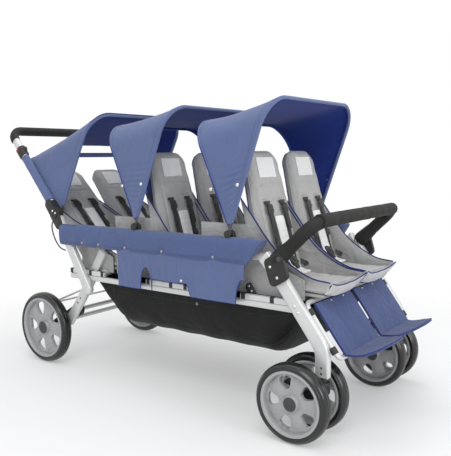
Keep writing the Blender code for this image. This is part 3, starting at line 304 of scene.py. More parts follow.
def heading(path: Sequence[Vector], index: int, cyclic: bool = False) -> Vector:
    """The direction of a path at one of its points."""
    if cyclic:
        return (path[(index + 1) % len(path)] - path[index - 1]).normalized()
    return (path[min(index + 1, len(path) - 1)] - path[max(index - 1, 0)]).normalized()


def arc(centre: Point, radius: float, start: float, end: float, steps: int) -> list[Point]:
    """Points of an arc, both ends included."""
    turns = (start + (end - start) * i / steps for i in range(steps + 1))
    return [(centre[0] + radius * math.cos(a), centre[1] + radius * math.sin(a)) for a in turns]


def box_outline(left: float, low: float, right: float, high: float) -> list[Point]:
    """The four corners of a rectangle, anticlockwise from its lower left one."""
    return [(left, low), (right, low), (right, high), (left, high)]


def capsule(first: Point, near: float, second: Point, far: float, steps: int = 12) -> list[Point]:
    """The outline round two circles."""
    away = Vector(second) - Vector(first)
    turn = math.atan2(away.y, away.x)
    swing = math.acos((near - far) / away.length)
    return arc(first, near, turn + swing, turn + 2 * math.pi - swing, steps) + arc(
        second, far, turn - swing, turn + swing, steps
    )


def rounded(points: Sequence[Point], radius: float, steps: int = 10) -> list[Point]:
    """The path with each inner corner replaced by an arc."""
    path = [points[0]]
    for before, corner, after in zip(points, points[1:], points[2:]):
        into = (Vector(before) - Vector(corner)).normalized()
        out = (Vector(after) - Vector(corner)).normalized()
        half = into.angle(out) / 2
        reach = radius / math.tan(half)
        centre = Vector(corner) + (into + out).normalized() * radius / math.sin(half)
        first = Vector(corner) + into * reach - centre
        turn = first.angle_signed(Vector(corner) + out * reach - centre)
        start = math.atan2(first.y, first.x)
        path += arc(centre, radius, start, start - turn, steps)
    return path + [points[-1]]


def strip(path: Sequence[Point], half: float) -> list[Point]:
    """The outline of a band of even width along a path."""
    line = [Vector(p) for p in path]
    left, right = [], []
    for i, point in enumerate(line):
        run = heading(line, i)
        normal = Vector((-run.y, run.x)) * half
        left.append(tuple(point + normal))
        right.append(tuple(point - normal))
    return left + right[::-1]


def spline(points: Sequence[Sequence[float]], count: int) -> list[Vector]:
    """A smooth curve through points, evenly stepped.

    Args:
        points: the points, of two or three numbers.
        count: how many points to return.

    Returns:
        The curve's points, the first and the last among them.
    """
    known = [Vector(p) for p in points]
    ends = [2 * known[0] - known[1], *known, 2 * known[-1] - known[-2]]
    dense = []
    for i in range(len(known) - 1):
        a, b, c, d = ends[i : i + 4]
        for k in range(16):
            t = k / 16
            square, cube = 2 * a - 5 * b + 4 * c - d, 3 * b - a - 3 * c + d
            dense.append(0.5 * (2 * b + (c - a) * t + square * t**2 + cube * t**3))
    dense.append(known[-1])
    lengths = [0.0]
    for near, far in zip(dense, dense[1:]):
        lengths.append(lengths[-1] + (far - near).length)
    made, k = [], 0
    for i in range(count):
        want = lengths[-1] * i / (count - 1)
        while k < len(lengths) - 2 and lengths[k + 1] < want:
            k += 1
        span = lengths[k + 1] - lengths[k]
        made.append(dense[k].lerp(dense[k + 1], (want - lengths[k]) / span if span else 0))
    return made


def plate(
    outline: Sequence[Point], plane: Matrix, thick: float, ease: float = 0.0, segments: int = 3
) -> bpy.types.Object:
    """A flat outline, thickened both ways, with its edges eased.

    Args:
        outline: the points of the outline in the plane.
        plane: the plane's place.
        thick: the thickness.
        ease: how far the edges are rounded.
        segments: how many faces round an edge.

    Returns:
        The shape.
    """
    bpy.ops.object.select_all(action="DESELECT")
    bpy.ops.mesh.primitive_circle_add(vertices=len(outline), radius=1, fill_type="NGON")
    obj = bpy.context.object
    for vertex, place in zip(obj.data.vertices, outline):
        vertex.co = (place[0], place[1], -thick / 2)
    edit(
        obj,
        lambda: bpy.ops.mesh.extrude_region_move(TRANSFORM_OT_translate={"value": (0, 0, thick)}),
        lambda: bpy.ops.mesh.select_all(action="SELECT"),
        lambda: bpy.ops.mesh.normals_make_consistent(inside=False),
    )
    obj.data.transform(plane)
    return round_edges(obj, ease, segments) if ease else obj


def grid(columns: int, rows: int, place: Callable[[float, float], Vector]) -> bpy.types.Object:
    """A sheet whose corners are placed by a function of two shares, with a UV map in metres.

    Args:
        columns: faces along the first share.
        rows: faces along the second share.
        place: gives a corner's place.

    Returns:
        The sheet.
    """
    bpy.ops.object.select_all(action="DESELECT")
    bpy.ops.mesh.primitive_grid_add(x_subdivisions=columns, y_subdivisions=rows, size=2)
    obj = bpy.context.object
    for vertex in obj.data.vertices:
        vertex.co = place((vertex.co.x + 1) / 2, (vertex.co.y + 1) / 2)
    wide = sum((place((i + 1) / 12, 0.5) - place(i / 12, 0.5)).length for i in range(12))
    tall = sum((place(0.5, (i + 1) / 12) - place(0.5, i / 12)).length for i in range(12))
    for corner in obj.data.uv_layers.active.data:
        corner.uv = (corner.uv[0] * wide, corner.uv[1] * tall)
    return obj


def cloth_sheet(
    columns: int, rows: int, place: Callable, thick: float, merge: float = 1e-6
) -> bpy.types.Object:
    """A cloth of even thickness, its middle placed by a function of two shares."""
    return outwards(modify(grid(columns, rows, place), "SOLIDIFY", thickness=thick, offset=0.0), merge)


def skin(rings: Sequence[Sequence[Vector]], cyclic: bool = False) -> bpy.types.Object:
    """A closed solid through rings of points: a sheet that is rolled up, merged and capped.

    Args:
        rings: rings with the same count of points each.
        cyclic: whether the last ring meets the first.

    Returns:
        The shape.
    """
    loops = [list(ring) + [ring[0]] for ring in rings] + ([list(rings[0]) + [rings[0][0]]] if cyclic else [])
    across, long = len(loops[0]) - 1, len(loops) - 1
    obj = grid(across, long, lambda u, v: Vector(loops[round(v * long)][round(u * across)]))
    edit(obj, lambda: bpy.ops.mesh.remove_doubles(threshold=1e-6))
    if not cyclic:
        edit(obj, lambda: bpy.ops.mesh.fill_holes(sides=0))
    edit(obj, lambda: bpy.ops.mesh.normals_make_consistent(inside=False))
    return obj


def sweep(path: Sequence[Vector], section: Sequence[Point], across: Vector) -> bpy.types.Object:
    """A bar of an even section along a path.

    Args:
        path: the bar's centre line.
        section: (across, through) points of its section.
        across: the direction of the section's first number, square to the path.

    Returns:
        The shape.
    """
    rings = []
    for i, point in enumerate(path):
        run = heading(path, i)
        flat = (across - run * across.dot(run)).normalized()
        other = run.cross(flat)
        rings.append([point + flat * a + other * b for a, b in section])
    return skin(rings)


def ring_of(radius: float, steps: int = 16) -> list[Point]:
    """The points of a round section."""
    return arc((0, 0), radius, 0, 2 * math.pi * (steps - 1) / steps, steps - 1)


def oval_of(across: float, through: float, steps: int = 8) -> list[Point]:
    """The points of a flat-oval section."""
    small = min(across, through) / 2
    run = max(across, through) / 2 - small
    if across > through:
        return capsule((-run, 0), small, (run, 0), small, steps)
    return capsule((0, -run), small, (0, run), small, steps)


def tube(path: Sequence[Vector], radius: float, cyclic: bool = False, steps: int = 14) -> bpy.types.Object:
    """A round bar along a path, its section turned as little as the path allows."""
    flat = (path[1] - path[0]).normalized().orthogonal().normalized()
    rings = []
    for i, point in enumerate(path):
        run = heading(path, i, cyclic)
        flat = (flat - run * flat.dot(run)).normalized()
        other = run.cross(flat)
        rings.append([point + flat * a + other * b for a, b in ring_of(radius, steps)])
    if cyclic:
        first = rings[0][0] - path[0]
        drift = min(range(steps), key=lambda k: (rings[-1][k] - path[-1] - first).length)
        rings = [spread_turn(ring, drift * i / len(path)) for i, ring in enumerate(rings)]
    return skin(rings, cyclic)


def spread_turn(ring: Sequence[Vector], steps: float) -> list[Vector]:
    """The ring turned in its own plane by a part of a step."""
    count = len(ring)
    low = math.floor(steps)
    share = steps - low
    return [ring[(i + low) % count].lerp(ring[(i + low + 1) % count], share) for i in range(count)]


def spun(profile: Sequence[Point], place: Matrix, steps: int = 48, closed: bool = False) -> bpy.types.Object:
    """A turned shape about the local z of a place.

    Args:
        profile: (radius, height) points.
        place: where its axis lies.
        steps: faces round it.
        closed: whether the profile is a ring, as a tyre's is.

    Returns:
        The shape.
    """
    bpy.ops.object.select_all(action="DESELECT")
    bpy.ops.mesh.primitive_circle_add(vertices=len(profile), radius=1, fill_type="NOTHING")
    obj = bpy.context.object
    for vertex, (radius, height) in zip(obj.data.vertices, profile):
        vertex.co = (radius, 0, height)
    if not closed:
        last = len(profile) - 1
        mesh = bmesh.new()
        mesh.from_mesh(obj.data)
        gone = [e for e in mesh.edges if {v.index for v in e.verts} == {0, last}]
        bmesh.ops.delete(mesh, geom=gone, context="EDGES")
        mesh.to_mesh(obj.data)
        mesh.free()
    edit(
        obj,
        lambda: bpy.ops.mesh.spin(steps=steps, angle=2 * math.pi, center=(0, 0, 0), axis=(0, 0, 1)),
        lambda: bpy.ops.mesh.select_all(action="SELECT"),
        lambda: bpy.ops.mesh.remove_doubles(threshold=1e-6),
        lambda: bpy.ops.mesh.normals_make_consistent(inside=False),
    )
    obj.data.transform(place)
    return obj


def joined(*objects: bpy.types.Object) -> bpy.types.Object:
    """Several shapes as one object, each keeping its faces' slots."""
    choose(objects[0])
    for other in objects[1:]:
        other.select_set(True)
    bpy.ops.object.join()
    return objects[0]


def slotted(obj: bpy.types.Object, index: int) -> bpy.types.Object:
    """Puts all faces into one material slot, with slots made up to it."""
    while len(obj.data.materials) <= index:
        obj.data.materials.append(spare(len(obj.data.materials)))
    for polygon in obj.data.polygons:
        polygon.material_index = index
    return obj


def spare(index: int) -> bpy.types.Material:
    """A place-holder that keeps slots apart while shapes are joined."""
    name = f"spare_{index}"
    return bpy.data.materials.get(name) or bpy.data.materials.new(name)


def copied(obj: bpy.types.Object, place: Matrix = Matrix()) -> bpy.types.Object:
    """A copy with its own mesh, moved by a matrix."""
    other = obj.copy()
    other.data = obj.data.copy()
    bpy.context.scene.collection.objects.link(other)
    other.data.transform(place)
    if place.determinant() < 0:
        other.data.flip_normals()
    return other


def drop(obj: bpy.types.Object) -> None:
    """Removes an object that was only a model for copies."""
    bpy.data.objects.remove(obj, do_unlink=True)


def wave(x: float, y: float, z: float, scale: float, seed: float = 0.0) -> float:
    """Smooth noise from -1 to 1 at a place."""
    return noise.noise(Vector((x * scale + seed, y * scale + 2.3 * seed, z * scale - seed)))


def ease_in(share: float) -> float:
    """A smooth step from 0 to 1."""
    share = min(1.0, max(0.0, share))
    return share * share * (3 - 2 * share)


def creases(u: float, v: float, seed: float) -> float:
    """How far a canopy's cloth stands out in the small creases low on its sides.

    Args:
        u: the place along the bow, 0 and 1 at its feet.
        v: the place between the bows.
        seed: which canopy it is.

    Returns:
        A distance, largest a little above the feet.
    """
    low = math.exp(-(((min(u, 1 - u) - 0.13) / 0.075) ** 2))
    bend = 6.0 * wave(v * 1.6, u * 7, 0, 1.0, seed)
    size = 0.55 + 0.9 * wave(v * 2.0, u * 16, 1.0, 1.0, seed + 4.0)
    return 0.0026 * low * max(0.0, size) * math.sin(u * 290 + v * 2.0 + bend)


# Finishes


class Recipe:
    """A node material being put together."""

    def __init__(self, name: str) -> None:
        """Starts from a plain shader."""
        self.made = bpy.data.materials.new(name)
        self.made.use_nodes = True
        self.tree = self.made.node_tree
        self.shader = self.tree.nodes["Principled BSDF"]
        self.place = self.tree.nodes.new("ShaderNodeTexCoord").outputs["Object"]

    def set(self, **values: object) -> None:
        """Sets the shader's own sockets, with _ for a space in their names."""
        for name, value in values.items():
            self.shader.inputs[name.replace("_", " ")].default_value = value

    def node(self, kind: str, settings: Optional[dict] = None, **inputs: object) -> bpy.types.Node:
        """Adds a node.

        Args:
            kind: the node's type.
            settings: its properties.
            inputs: sockets by name, linked or set.

        Returns:
            The node.
        """
        node = self.tree.nodes.new(kind)
        for name, value in (settings or {}).items():
            setattr(node, name, value)
        for name, value in inputs.items():
            found = [s for s in node.inputs if s.name.replace(" ", "_") == name and s.enabled]
            if isinstance(value, bpy.types.NodeSocket):
                self.tree.links.new(value, found[0])
            else:
                found[0].default_value = value
        return node

    def noise(
        self, scale: float, detail: float = 3, rough: float = 0.5, bend: float = 0.0
    ) -> bpy.types.NodeSocket:
        """Noise over the piece."""
        node = self.node("ShaderNodeTexNoise", None, Vector=self.place, Scale=scale, Detail=detail)
        node.inputs["Roughness"].default_value = rough
        node.inputs["Distortion"].default_value = bend
        return node.outputs["Fac"]

    def cells(self, scale: float) -> bpy.types.NodeSocket:
        """Distance to the nearest cell centre."""
        return self.node("ShaderNodeTexVoronoi", None, Vector=self.place, Scale=scale).outputs["Distance"]

    def bands(self, axis: str, per_metre: float, bend: float = 0.0) -> bpy.types.NodeSocket:
        """Even bands along an axis."""
        settings = {"wave_type": "BANDS", "bands_direction": axis, "wave_profile": "SIN"}
        node = self.node("ShaderNodeTexWave", settings, Vector=self.place, Scale=per_metre * math.pi / 10)
        node.inputs["Distortion"].default_value = bend
        return node.outputs["Fac"]

    def math(self, operation: str, first: object, second: object = 0.0) -> bpy.types.NodeSocket:
        """One arithmetic step."""
        node = self.tree.nodes.new("ShaderNodeMath")
        node.operation = operation
        for socket, value in zip(node.inputs, (first, second)):
            if isinstance(value, bpy.types.NodeSocket):
                self.tree.links.new(value, socket)
            else:
                socket.default_value = value
        return node.outputs[0]

    def span(
        self, value: bpy.types.NodeSocket, low: float, high: float, to_low: float, to_high: float
    ) -> bpy.types.NodeSocket:
        """A value stretched from one span to another."""
        node = self.tree.nodes.new("ShaderNodeMapRange")
        self.tree.links.new(value, node.inputs["Value"])
        for name, number in zip(("From Min", "From Max", "To Min", "To Max"), (low, high, to_low, to_high)):
            node.inputs[name].default_value = number
        return node.outputs["Result"]

    def blend(self, share: object, first: object, second: object) -> bpy.types.NodeSocket:
        """A mix of two colours."""
        node = self.tree.nodes.new("ShaderNodeMix")
        node.data_type = "RGBA"
        for index, value in ((0, share), (6, first), (7, second)):
            if isinstance(value, bpy.types.NodeSocket):
                self.tree.links.new(value, node.inputs[index])
            else:
                node.inputs[index].default_value = value
        return node.outputs[2]

    def bump(
        self, height: bpy.types.NodeSocket, distance: float, under: Optional[bpy.types.NodeSocket] = None
    ) -> bpy.types.NodeSocket:
        """Relief of so many metres, laid over another relief."""
        node = self.node("ShaderNodeBump", None, Height=height, Strength=1.0, Distance=distance)
        if under:
            self.tree.links.new(under, node.inputs["Normal"])
        return node.outputs["Normal"]

    def wear(self) -> bpy.types.NodeSocket:
        """1 along outer edges, 0 elsewhere."""
        point = self.tree.nodes.new("ShaderNodeNewGeometry").outputs["Pointiness"]
        return self.span(point, 0.52, 0.60, 0.0, 1.0)

    def use(self, name: str, value: bpy.types.NodeSocket) -> None:
        """Links a value to one of the shader's sockets."""
        self.tree.links.new(value, self.shader.inputs[name])


def tint(colour: Sequence[float], by: float) -> tuple[float, float, float, float]:
    """The colour made lighter or darker."""
    return (*(min(1.0, c * by) for c in colour), 1.0)


@dataclass(frozen=True)
class Finish:
    """A finish with a name and a main colour, made once."""

    name: str
    colour: tuple[float, float, float]

    def material(self) -> bpy.types.Material:
        """The material, made at its first use."""
        found = bpy.data.materials.get(self.name)
        if found:
            return found
        recipe = Recipe(self.name)
        self.mix(recipe)
        recipe.made.diffuse_color = (*self.colour, 1.0)
        return recipe.made

    def mix(self, recipe: Recipe) -> None:
        """Builds the nodes."""
        raise NotImplementedError


@dataclass(frozen=True)
class Woven(Finish):
    """Woven cloth: threads both ways, soft wrinkles, and slubs in its colour."""

    thread: float = 900.0
    wrinkle: float = 0.0012
    wrinkle_scale: float = 14.0
    sheen: float = 0.25
    roughness: float = 0.82

    def mix(self, recipe: Recipe) -> None:
        """Threads, slubs, wrinkles and a soft sheen."""
        weave = recipe.math("ADD", recipe.bands("X", self.thread, 3.0), recipe.bands("Z", self.thread, 3.0))
        weave = recipe.math("ADD", weave, recipe.bands("Y", self.thread, 3.0))
        slub = recipe.noise(420, 2, 0.6)
        cloud = recipe.noise(5.5, 4, 0.6)
        soft, sharp = recipe.math("MULTIPLY", cloud, 0.55), recipe.math("MULTIPLY", slub, 0.45)
        shade_of = recipe.math("ADD", soft, sharp)
        shade_of = recipe.math("ADD", shade_of, recipe.math("MULTIPLY", weave, 0.06))
        share = recipe.span(shade_of, 0.30, 0.85, 0.0, 1.0)
        colour = recipe.blend(share, tint(self.colour, 0.84), tint(self.colour, 1.14))
        worn = recipe.math("MULTIPLY", recipe.wear(), 0.35)
        recipe.use("Base Color", recipe.blend(worn, colour, tint(self.colour, 1.35)))
        recipe.use("Roughness", recipe.span(cloud, 0.3, 0.7, self.roughness - 0.08, self.roughness + 0.06))
        folds = recipe.noise(self.wrinkle_scale, 3, 0.5, 0.8)
        soft = recipe.bump(folds, self.wrinkle * 6)
        recipe.use("Normal", recipe.bump(recipe.math("ADD", weave, slub), 0.00012, soft))
        recipe.set(Sheen_Weight=self.sheen, Sheen_Roughness=0.45, Specular_IOR_Level=0.25)


@dataclass(frozen=True)
class Painted(Finish):
    """Powder paint on tube: fine orange peel, a satin gleam and small scuffs."""

    roughness: float = 0.34
    metallic: float = 0.35

    def mix(self, recipe: Recipe) -> None:
        """Peel, scuffs and a lighter rub along edges."""
        cloud = recipe.noise(9, 3, 0.6)
        fleck = recipe.noise(900, 2, 0.6)
        flecked = recipe.math("ADD", cloud, recipe.math("MULTIPLY", fleck, 0.5))
        share = recipe.span(flecked, 0.45, 1.0, 0.0, 1.0)
        colour = recipe.blend(share, tint(self.colour, 0.93), tint(self.colour, 1.05))
        worn = recipe.math("MULTIPLY", recipe.wear(), 0.4)
        recipe.use("Base Color", recipe.blend(worn, colour, tint(self.colour, 1.2)))
        scuff = recipe.noise(60, 5, 0.75, 1.5)
        recipe.use("Roughness", recipe.span(scuff, 0.35, 0.75, self.roughness - 0.06, self.roughness + 0.12))
        recipe.use("Normal", recipe.bump(recipe.noise(520, 2, 0.5), 0.00008))
        recipe.set(Metallic=self.metallic, Coat_Weight=0.15, Coat_Roughness=0.25)


@dataclass(frozen=True)
class Moulded(Finish):
    """Moulded plastic or rubber with a fine grain."""

    roughness: float = 0.45
    grain: float = 1300.0
    relief: float = 0.00006
    dust: float = 0.25
    gloss: float = 0.35

    def mix(self, recipe: Recipe) -> None:
        """Grain, a little dust in patches and polish on the edges."""
        grain = recipe.noise(self.grain, 2, 0.6)
        cloud = recipe.noise(16, 4, 0.6)
        share = recipe.math("MULTIPLY", recipe.span(cloud, 0.4, 0.75, 0.0, 1.0), self.dust)
        colour = recipe.blend(share, tint(self.colour, 0.9), tint([c + 0.035 for c in self.colour], 1.15))
        worn = recipe.math("MULTIPLY", recipe.wear(), 0.3)
        rubbed = tint([c + 0.03 for c in self.colour], 1.5)
        recipe.use("Base Color", recipe.blend(worn, colour, rubbed))
        recipe.use("Roughness", recipe.span(cloud, 0.3, 0.7, self.roughness - 0.07, self.roughness + 0.10))
        height = recipe.math("ADD", grain, recipe.cells(self.grain * 0.6))
        recipe.use("Normal", recipe.bump(height, self.relief))
        recipe.set(Specular_IOR_Level=self.gloss)


@dataclass(frozen=True)
class Foam(Finish):
    """Closed-cell foam sleeve: matt, pitted, with fine cells."""

    def mix(self, recipe: Recipe) -> None:
        """Cells and pores."""
        cells, fine = recipe.cells(700), recipe.noise(1500, 2, 0.6)
        cloud = recipe.noise(22, 3, 0.5)
        share = recipe.span(cells, 0.1, 0.6, 0.0, 1.0)
        colour = recipe.blend(share, tint(self.colour, 0.72), tint(self.colour, 1.2))
        pale = recipe.math("MULTIPLY", cloud, 0.4)
        recipe.use("Base Color", recipe.blend(pale, colour, tint(self.colour, 1.45)))
        recipe.use("Roughness", recipe.span(cloud, 0.3, 0.7, 0.60, 0.78))
        height = recipe.math("ADD", cells, fine)
        recipe.use("Normal", recipe.bump(height, 0.00020, recipe.bump(cloud, 0.0010)))
        recipe.set(Specular_IOR_Level=0.3)


@dataclass(frozen=True)
class Webbing(Finish):
    """Woven strap: cross ribs and a tight edge."""

    ribs: float = 420.0

    def mix(self, recipe: Recipe) -> None:
        """Ribs across and fine threads."""
        ribs = recipe.math("ADD", recipe.bands("Z", self.ribs, 0.4), recipe.bands("X", self.ribs, 0.4))
        fine = recipe.noise(1100, 2, 0.6)
        share = recipe.span(recipe.math("ADD", ribs, fine), 0.5, 2.4, 0.0, 1.0)
        light = tint([c + 0.01 for c in self.colour], 1.3)
        recipe.use("Base Color", recipe.blend(share, tint(self.colour, 0.7), light))
        recipe.use("Roughness", recipe.span(fine, 0.3, 0.7, 0.62, 0.8))
        recipe.use("Normal", recipe.bump(recipe.math("ADD", ribs, fine), 0.00030))
        recipe.set(Sheen_Weight=0.15, Sheen_Roughness=0.4)


@dataclass(frozen=True)
class Bright(Finish):
    """Bright plated steel of rivets and snaps."""

    roughness: float = 0.22

    def mix(self, recipe: Recipe) -> None:
        """Turning marks and a faint haze."""
        haze = recipe.noise(240, 4, 0.65)
        recipe.use("Base Color", recipe.blend(haze, tint(self.colour, 0.82), tint(self.colour, 1.08)))
        recipe.use("Roughness", recipe.span(haze, 0.3, 0.7, self.roughness - 0.05, self.roughness + 0.16))
        recipe.use("Normal", recipe.bump(recipe.noise(1600, 1, 0.5), 0.00002))
        recipe.set(Metallic=1.0)


BLUE = Woven("blue_canopy_cloth", (0.116, 0.156, 0.310), wrinkle=0.0010, wrinkle_scale=9)
BLUE_PAD = Woven("blue_pad_cloth", (0.084, 0.120, 0.262), wrinkle=0.0012, wrinkle_scale=11)
BLUE_FOOT = Woven("blue_foot_cloth", (0.062, 0.090, 0.222), wrinkle=0.0012, wrinkle_scale=13)
NAVY = Woven("navy_lining", (0.016, 0.040, 0.240), wrinkle=0.0008, wrinkle_scale=9, sheen=0.12)
PIPING = Woven("navy_piping", (0.020, 0.030, 0.17), wrinkle=0.0002, thread=1400, sheen=0.15)
GREY = Woven("grey_seat_cloth", (0.460, 0.458, 0.450), wrinkle=0.0018, wrinkle_scale=20, sheen=0.15)
# Painted light: a lighter copy of the grey seat cloth for the upward-facing pan cushions and their front
# hems.
GREY_PAN_PAINTED_LIGHT = Woven("grey_pan_cloth", (0.620, 0.618, 0.610), wrinkle=0.0018, wrinkle_scale=20, sheen=0.15)
GREY_SIDE = Woven("grey_side_cloth", (0.400, 0.398, 0.392), wrinkle=0.0014, wrinkle_scale=22, sheen=0.1)
PALE = Woven("pale_pad_cloth", (0.84, 0.84, 0.83), wrinkle=0.0006, wrinkle_scale=30, sheen=0.1)
BLACK_CLOTH = Woven(
    "black_basket_cloth", (0.0065, 0.0065, 0.007), wrinkle=0.0024, wrinkle_scale=8, sheen=0.02, roughness=0.58
)
STRAP = Webbing("black_webbing", (0.016, 0.016, 0.017))
THREAD = Webbing("blue_thread", (0.075, 0.095, 0.26), ribs=900)
SILVER = Painted("silver_tube_paint", (0.66, 0.665, 0.66))
RIM = Moulded("grey_rim_plastic", (0.40, 0.405, 0.41), roughness=0.26, dust=0.10, gloss=0.6)
PLASTIC = Moulded("black_moulding", (0.022, 0.022, 0.021), roughness=0.42)
CAP = Moulded("dark_cap_plastic", (0.055, 0.055, 0.055), roughness=0.5)
RUBBER = Moulded(
    "black_tyre_rubber",
    (0.009, 0.009, 0.009),
    roughness=0.24,
    grain=700,
    relief=0.00003,
    dust=0.08,
    gloss=0.6,
)
RED = Moulded("red_mark", (0.55, 0.035, 0.02), roughness=0.4)
FOAM = Foam("black_foam", (0.016, 0.016, 0.015))
DARK_ROD = Painted("dark_rod_paint", (0.10, 0.10, 0.10), roughness=0.4, metallic=0.5)
STEEL = Bright("bright_steel", (0.78, 0.77, 0.75))
GUNMETAL = Bright("dark_nickel", (0.36, 0.36, 0.37), roughness=0.24)


@dataclass(frozen=True)
class Rivet:
    """A domed rivet or snap head."""

    radius: float
    rise: float

    def put(
        self, name: str, places: Sequence[tuple[Vector, Vector]], finish: Finish, body: str
    ) -> bpy.types.Object:
        """One piece with a head at each place.

        Args:
            name: the piece's name.
            places: (point on the surface, direction outwards).
            finish: its finish.
            body: what it rides on.

        Returns:
            The piece.
        """
        r, h = self.radius, self.rise
        profile = [
            (0, h), (r * 0.45, h * 0.93), (r * 0.8, h * 0.6), (r, h * 0.15), (r, -h * 0.3), (0, -h * 0.3)
        ]
        heads = [spun(profile, along(out, point), 16) for point, out in places]
        return piece(joined(*heads), name, finish, body, smooth=50)


# Studio


@dataclass(frozen=True)
class Lamp:
    """A round lamp: its name, place, diameter and power in watts."""

    name: str
    place: tuple[float, float, float]
    size: float
    power: float


@dataclass
class Studio:
    """The floor, the lamps and the camera."""

    lens_px: float = 626.4
    frame_px: tuple[int, int] = (451, 456)
    sensor: float = 36.0
    eye: tuple[float, float, float] = (0.941, -1.919, 0.858)
    forward: tuple[float, float, float] = (-0.6004, 0.7920, -0.1107)
    roll: float = math.radians(-0.65)
    sky: float = 0.66
    floor_size: float = 24
    floor_glow: float = 0.30
    fade: tuple[float, float] = (0.6, 1.9)
    aim: tuple[float, float, float] = (0, 0, 0.5)
    lamps: tuple[Lamp, ...] = (
        Lamp("key", (1.6, -2.6, 3.6), 2.6, 58),
        Lamp("front", (4.4, -0.7, 1.9), 2.0, 46),
        Lamp("fill", (3.0, 2.6, 2.2), 2.4, 12),
        Lamp("top", (-0.6, 0.2, 4.0), 3.0, 34),
    )

    def build(self) -> None:
        """Makes the whole studio."""
        self.camera()
        self.world()
        self.floor()
        self.light()
        bpy.context.scene.view_settings.view_transform = "Standard"

    def camera(self) -> None:
        """The camera at the photograph's place and angle."""
        data = bpy.data.cameras.new("camera")
        data.sensor_width = self.sensor
        data.lens = self.lens_px * self.sensor / max(self.frame_px)
        data.clip_start, data.clip_end = 0.05, 60
        ahead = Vector(self.forward).normalized()
        right = ahead.cross(Vector((0, 0, 1))).normalized()
        up = right.cross(ahead)
        turned = right * math.cos(self.roll) + up * math.sin(self.roll)
        upright = up * math.cos(self.roll) - right * math.sin(self.roll)
        obj = bpy.data.objects.new("camera", data)
        bpy.context.scene.collection.objects.link(obj)
        turn = Matrix((turned, upright, -ahead)).transposed().to_4x4()
        obj.matrix_world = Matrix.Translation(at(*self.eye)) @ turn
        bpy.context.scene.camera = obj

    def world(self) -> None:
        """An even pale light, and plain white where the camera or a reflection sees it."""
        world = bpy.data.worlds.new("studio")
        world.use_nodes = True
        tree = world.node_tree
        tree.nodes.clear()
        seen = tree.nodes.new("ShaderNodeLightPath")
        white, light = tree.nodes.new("ShaderNodeBackground"), tree.nodes.new("ShaderNodeBackground")
        white.inputs["Color"].default_value = (1, 1, 1, 1)
        light.inputs["Color"].default_value = (0.97, 0.98, 1.0, 1)
        light.inputs["Strength"].default_value = self.sky
        pick, mixed = tree.nodes.new("ShaderNodeMath"), tree.nodes.new("ShaderNodeMixShader")
        pick.operation = "MAXIMUM"
        tree.links.new(seen.outputs["Is Camera Ray"], pick.inputs[0])
        tree.links.new(seen.outputs["Is Glossy Ray"], pick.inputs[1])
        tree.links.new(pick.outputs[0], mixed.inputs[0])
        tree.links.new(light.outputs[0], mixed.inputs[1])
        tree.links.new(white.outputs[0], mixed.inputs[2])
        out = tree.nodes.new("ShaderNodeOutputWorld")
        tree.links.new(mixed.outputs[0], out.inputs[0])
        bpy.context.scene.world = world

    def floor(self) -> None:
        """A pale floor that keeps the shadow and fades to white away from the stroller."""
        bpy.ops.object.select_all(action="DESELECT")
        bpy.ops.mesh.primitive_plane_add(size=self.floor_size, location=(0, 0, -0.0005))
        floor = bpy.context.object
        floor.name = "floor"
        recipe = Recipe("pale_floor")
        recipe.set(Base_Color=(0.90, 0.90, 0.90, 1), Roughness=0.75, Specular_IOR_Level=0.2)
        tree = recipe.tree
        length = tree.nodes.new("ShaderNodeVectorMath")
        length.operation = "LENGTH"
        tree.links.new(recipe.place, length.inputs[0])
        share = recipe.span(length.outputs["Value"], *self.fade, 0.0, 1.0)
        seen = tree.nodes.new("ShaderNodeLightPath").outputs
        share = recipe.math("MAXIMUM", share, self.floor_glow)
        watched = recipe.math("MAXIMUM", seen["Is Camera Ray"], seen["Is Glossy Ray"])
        share = recipe.math("MULTIPLY", share, watched)
        glow, mixed = tree.nodes.new("ShaderNodeEmission"), tree.nodes.new("ShaderNodeMixShader")
        glow.inputs["Color"].default_value = (1, 1, 1, 1)
        tree.links.new(share, mixed.inputs[0])
        tree.links.new(recipe.shader.outputs[0], mixed.inputs[1])
        tree.links.new(glow.outputs[0], mixed.inputs[2])
        tree.links.new(mixed.outputs[0], tree.nodes["Material Output"].inputs["Surface"])
        floor.data.materials.append(recipe.made)

    def light(self) -> None:
        """Hangs the lamps, each turned to the stroller's middle."""
        for lamp in self.lamps:
            data = bpy.data.lights.new(lamp.name, "AREA")
            data.shape, data.size, data.energy = "DISK", lamp.size, lamp.power
            obj = bpy.data.objects.new(lamp.name, data)
            bpy.context.scene.collection.objects.link(obj)
            obj.location = lamp.place
            obj.rotation_mode = "QUATERNION"
            obj.rotation_quaternion = (Vector(self.aim) - Vector(lamp.place)).to_track_quat("-Z", "Y")


# Running gear


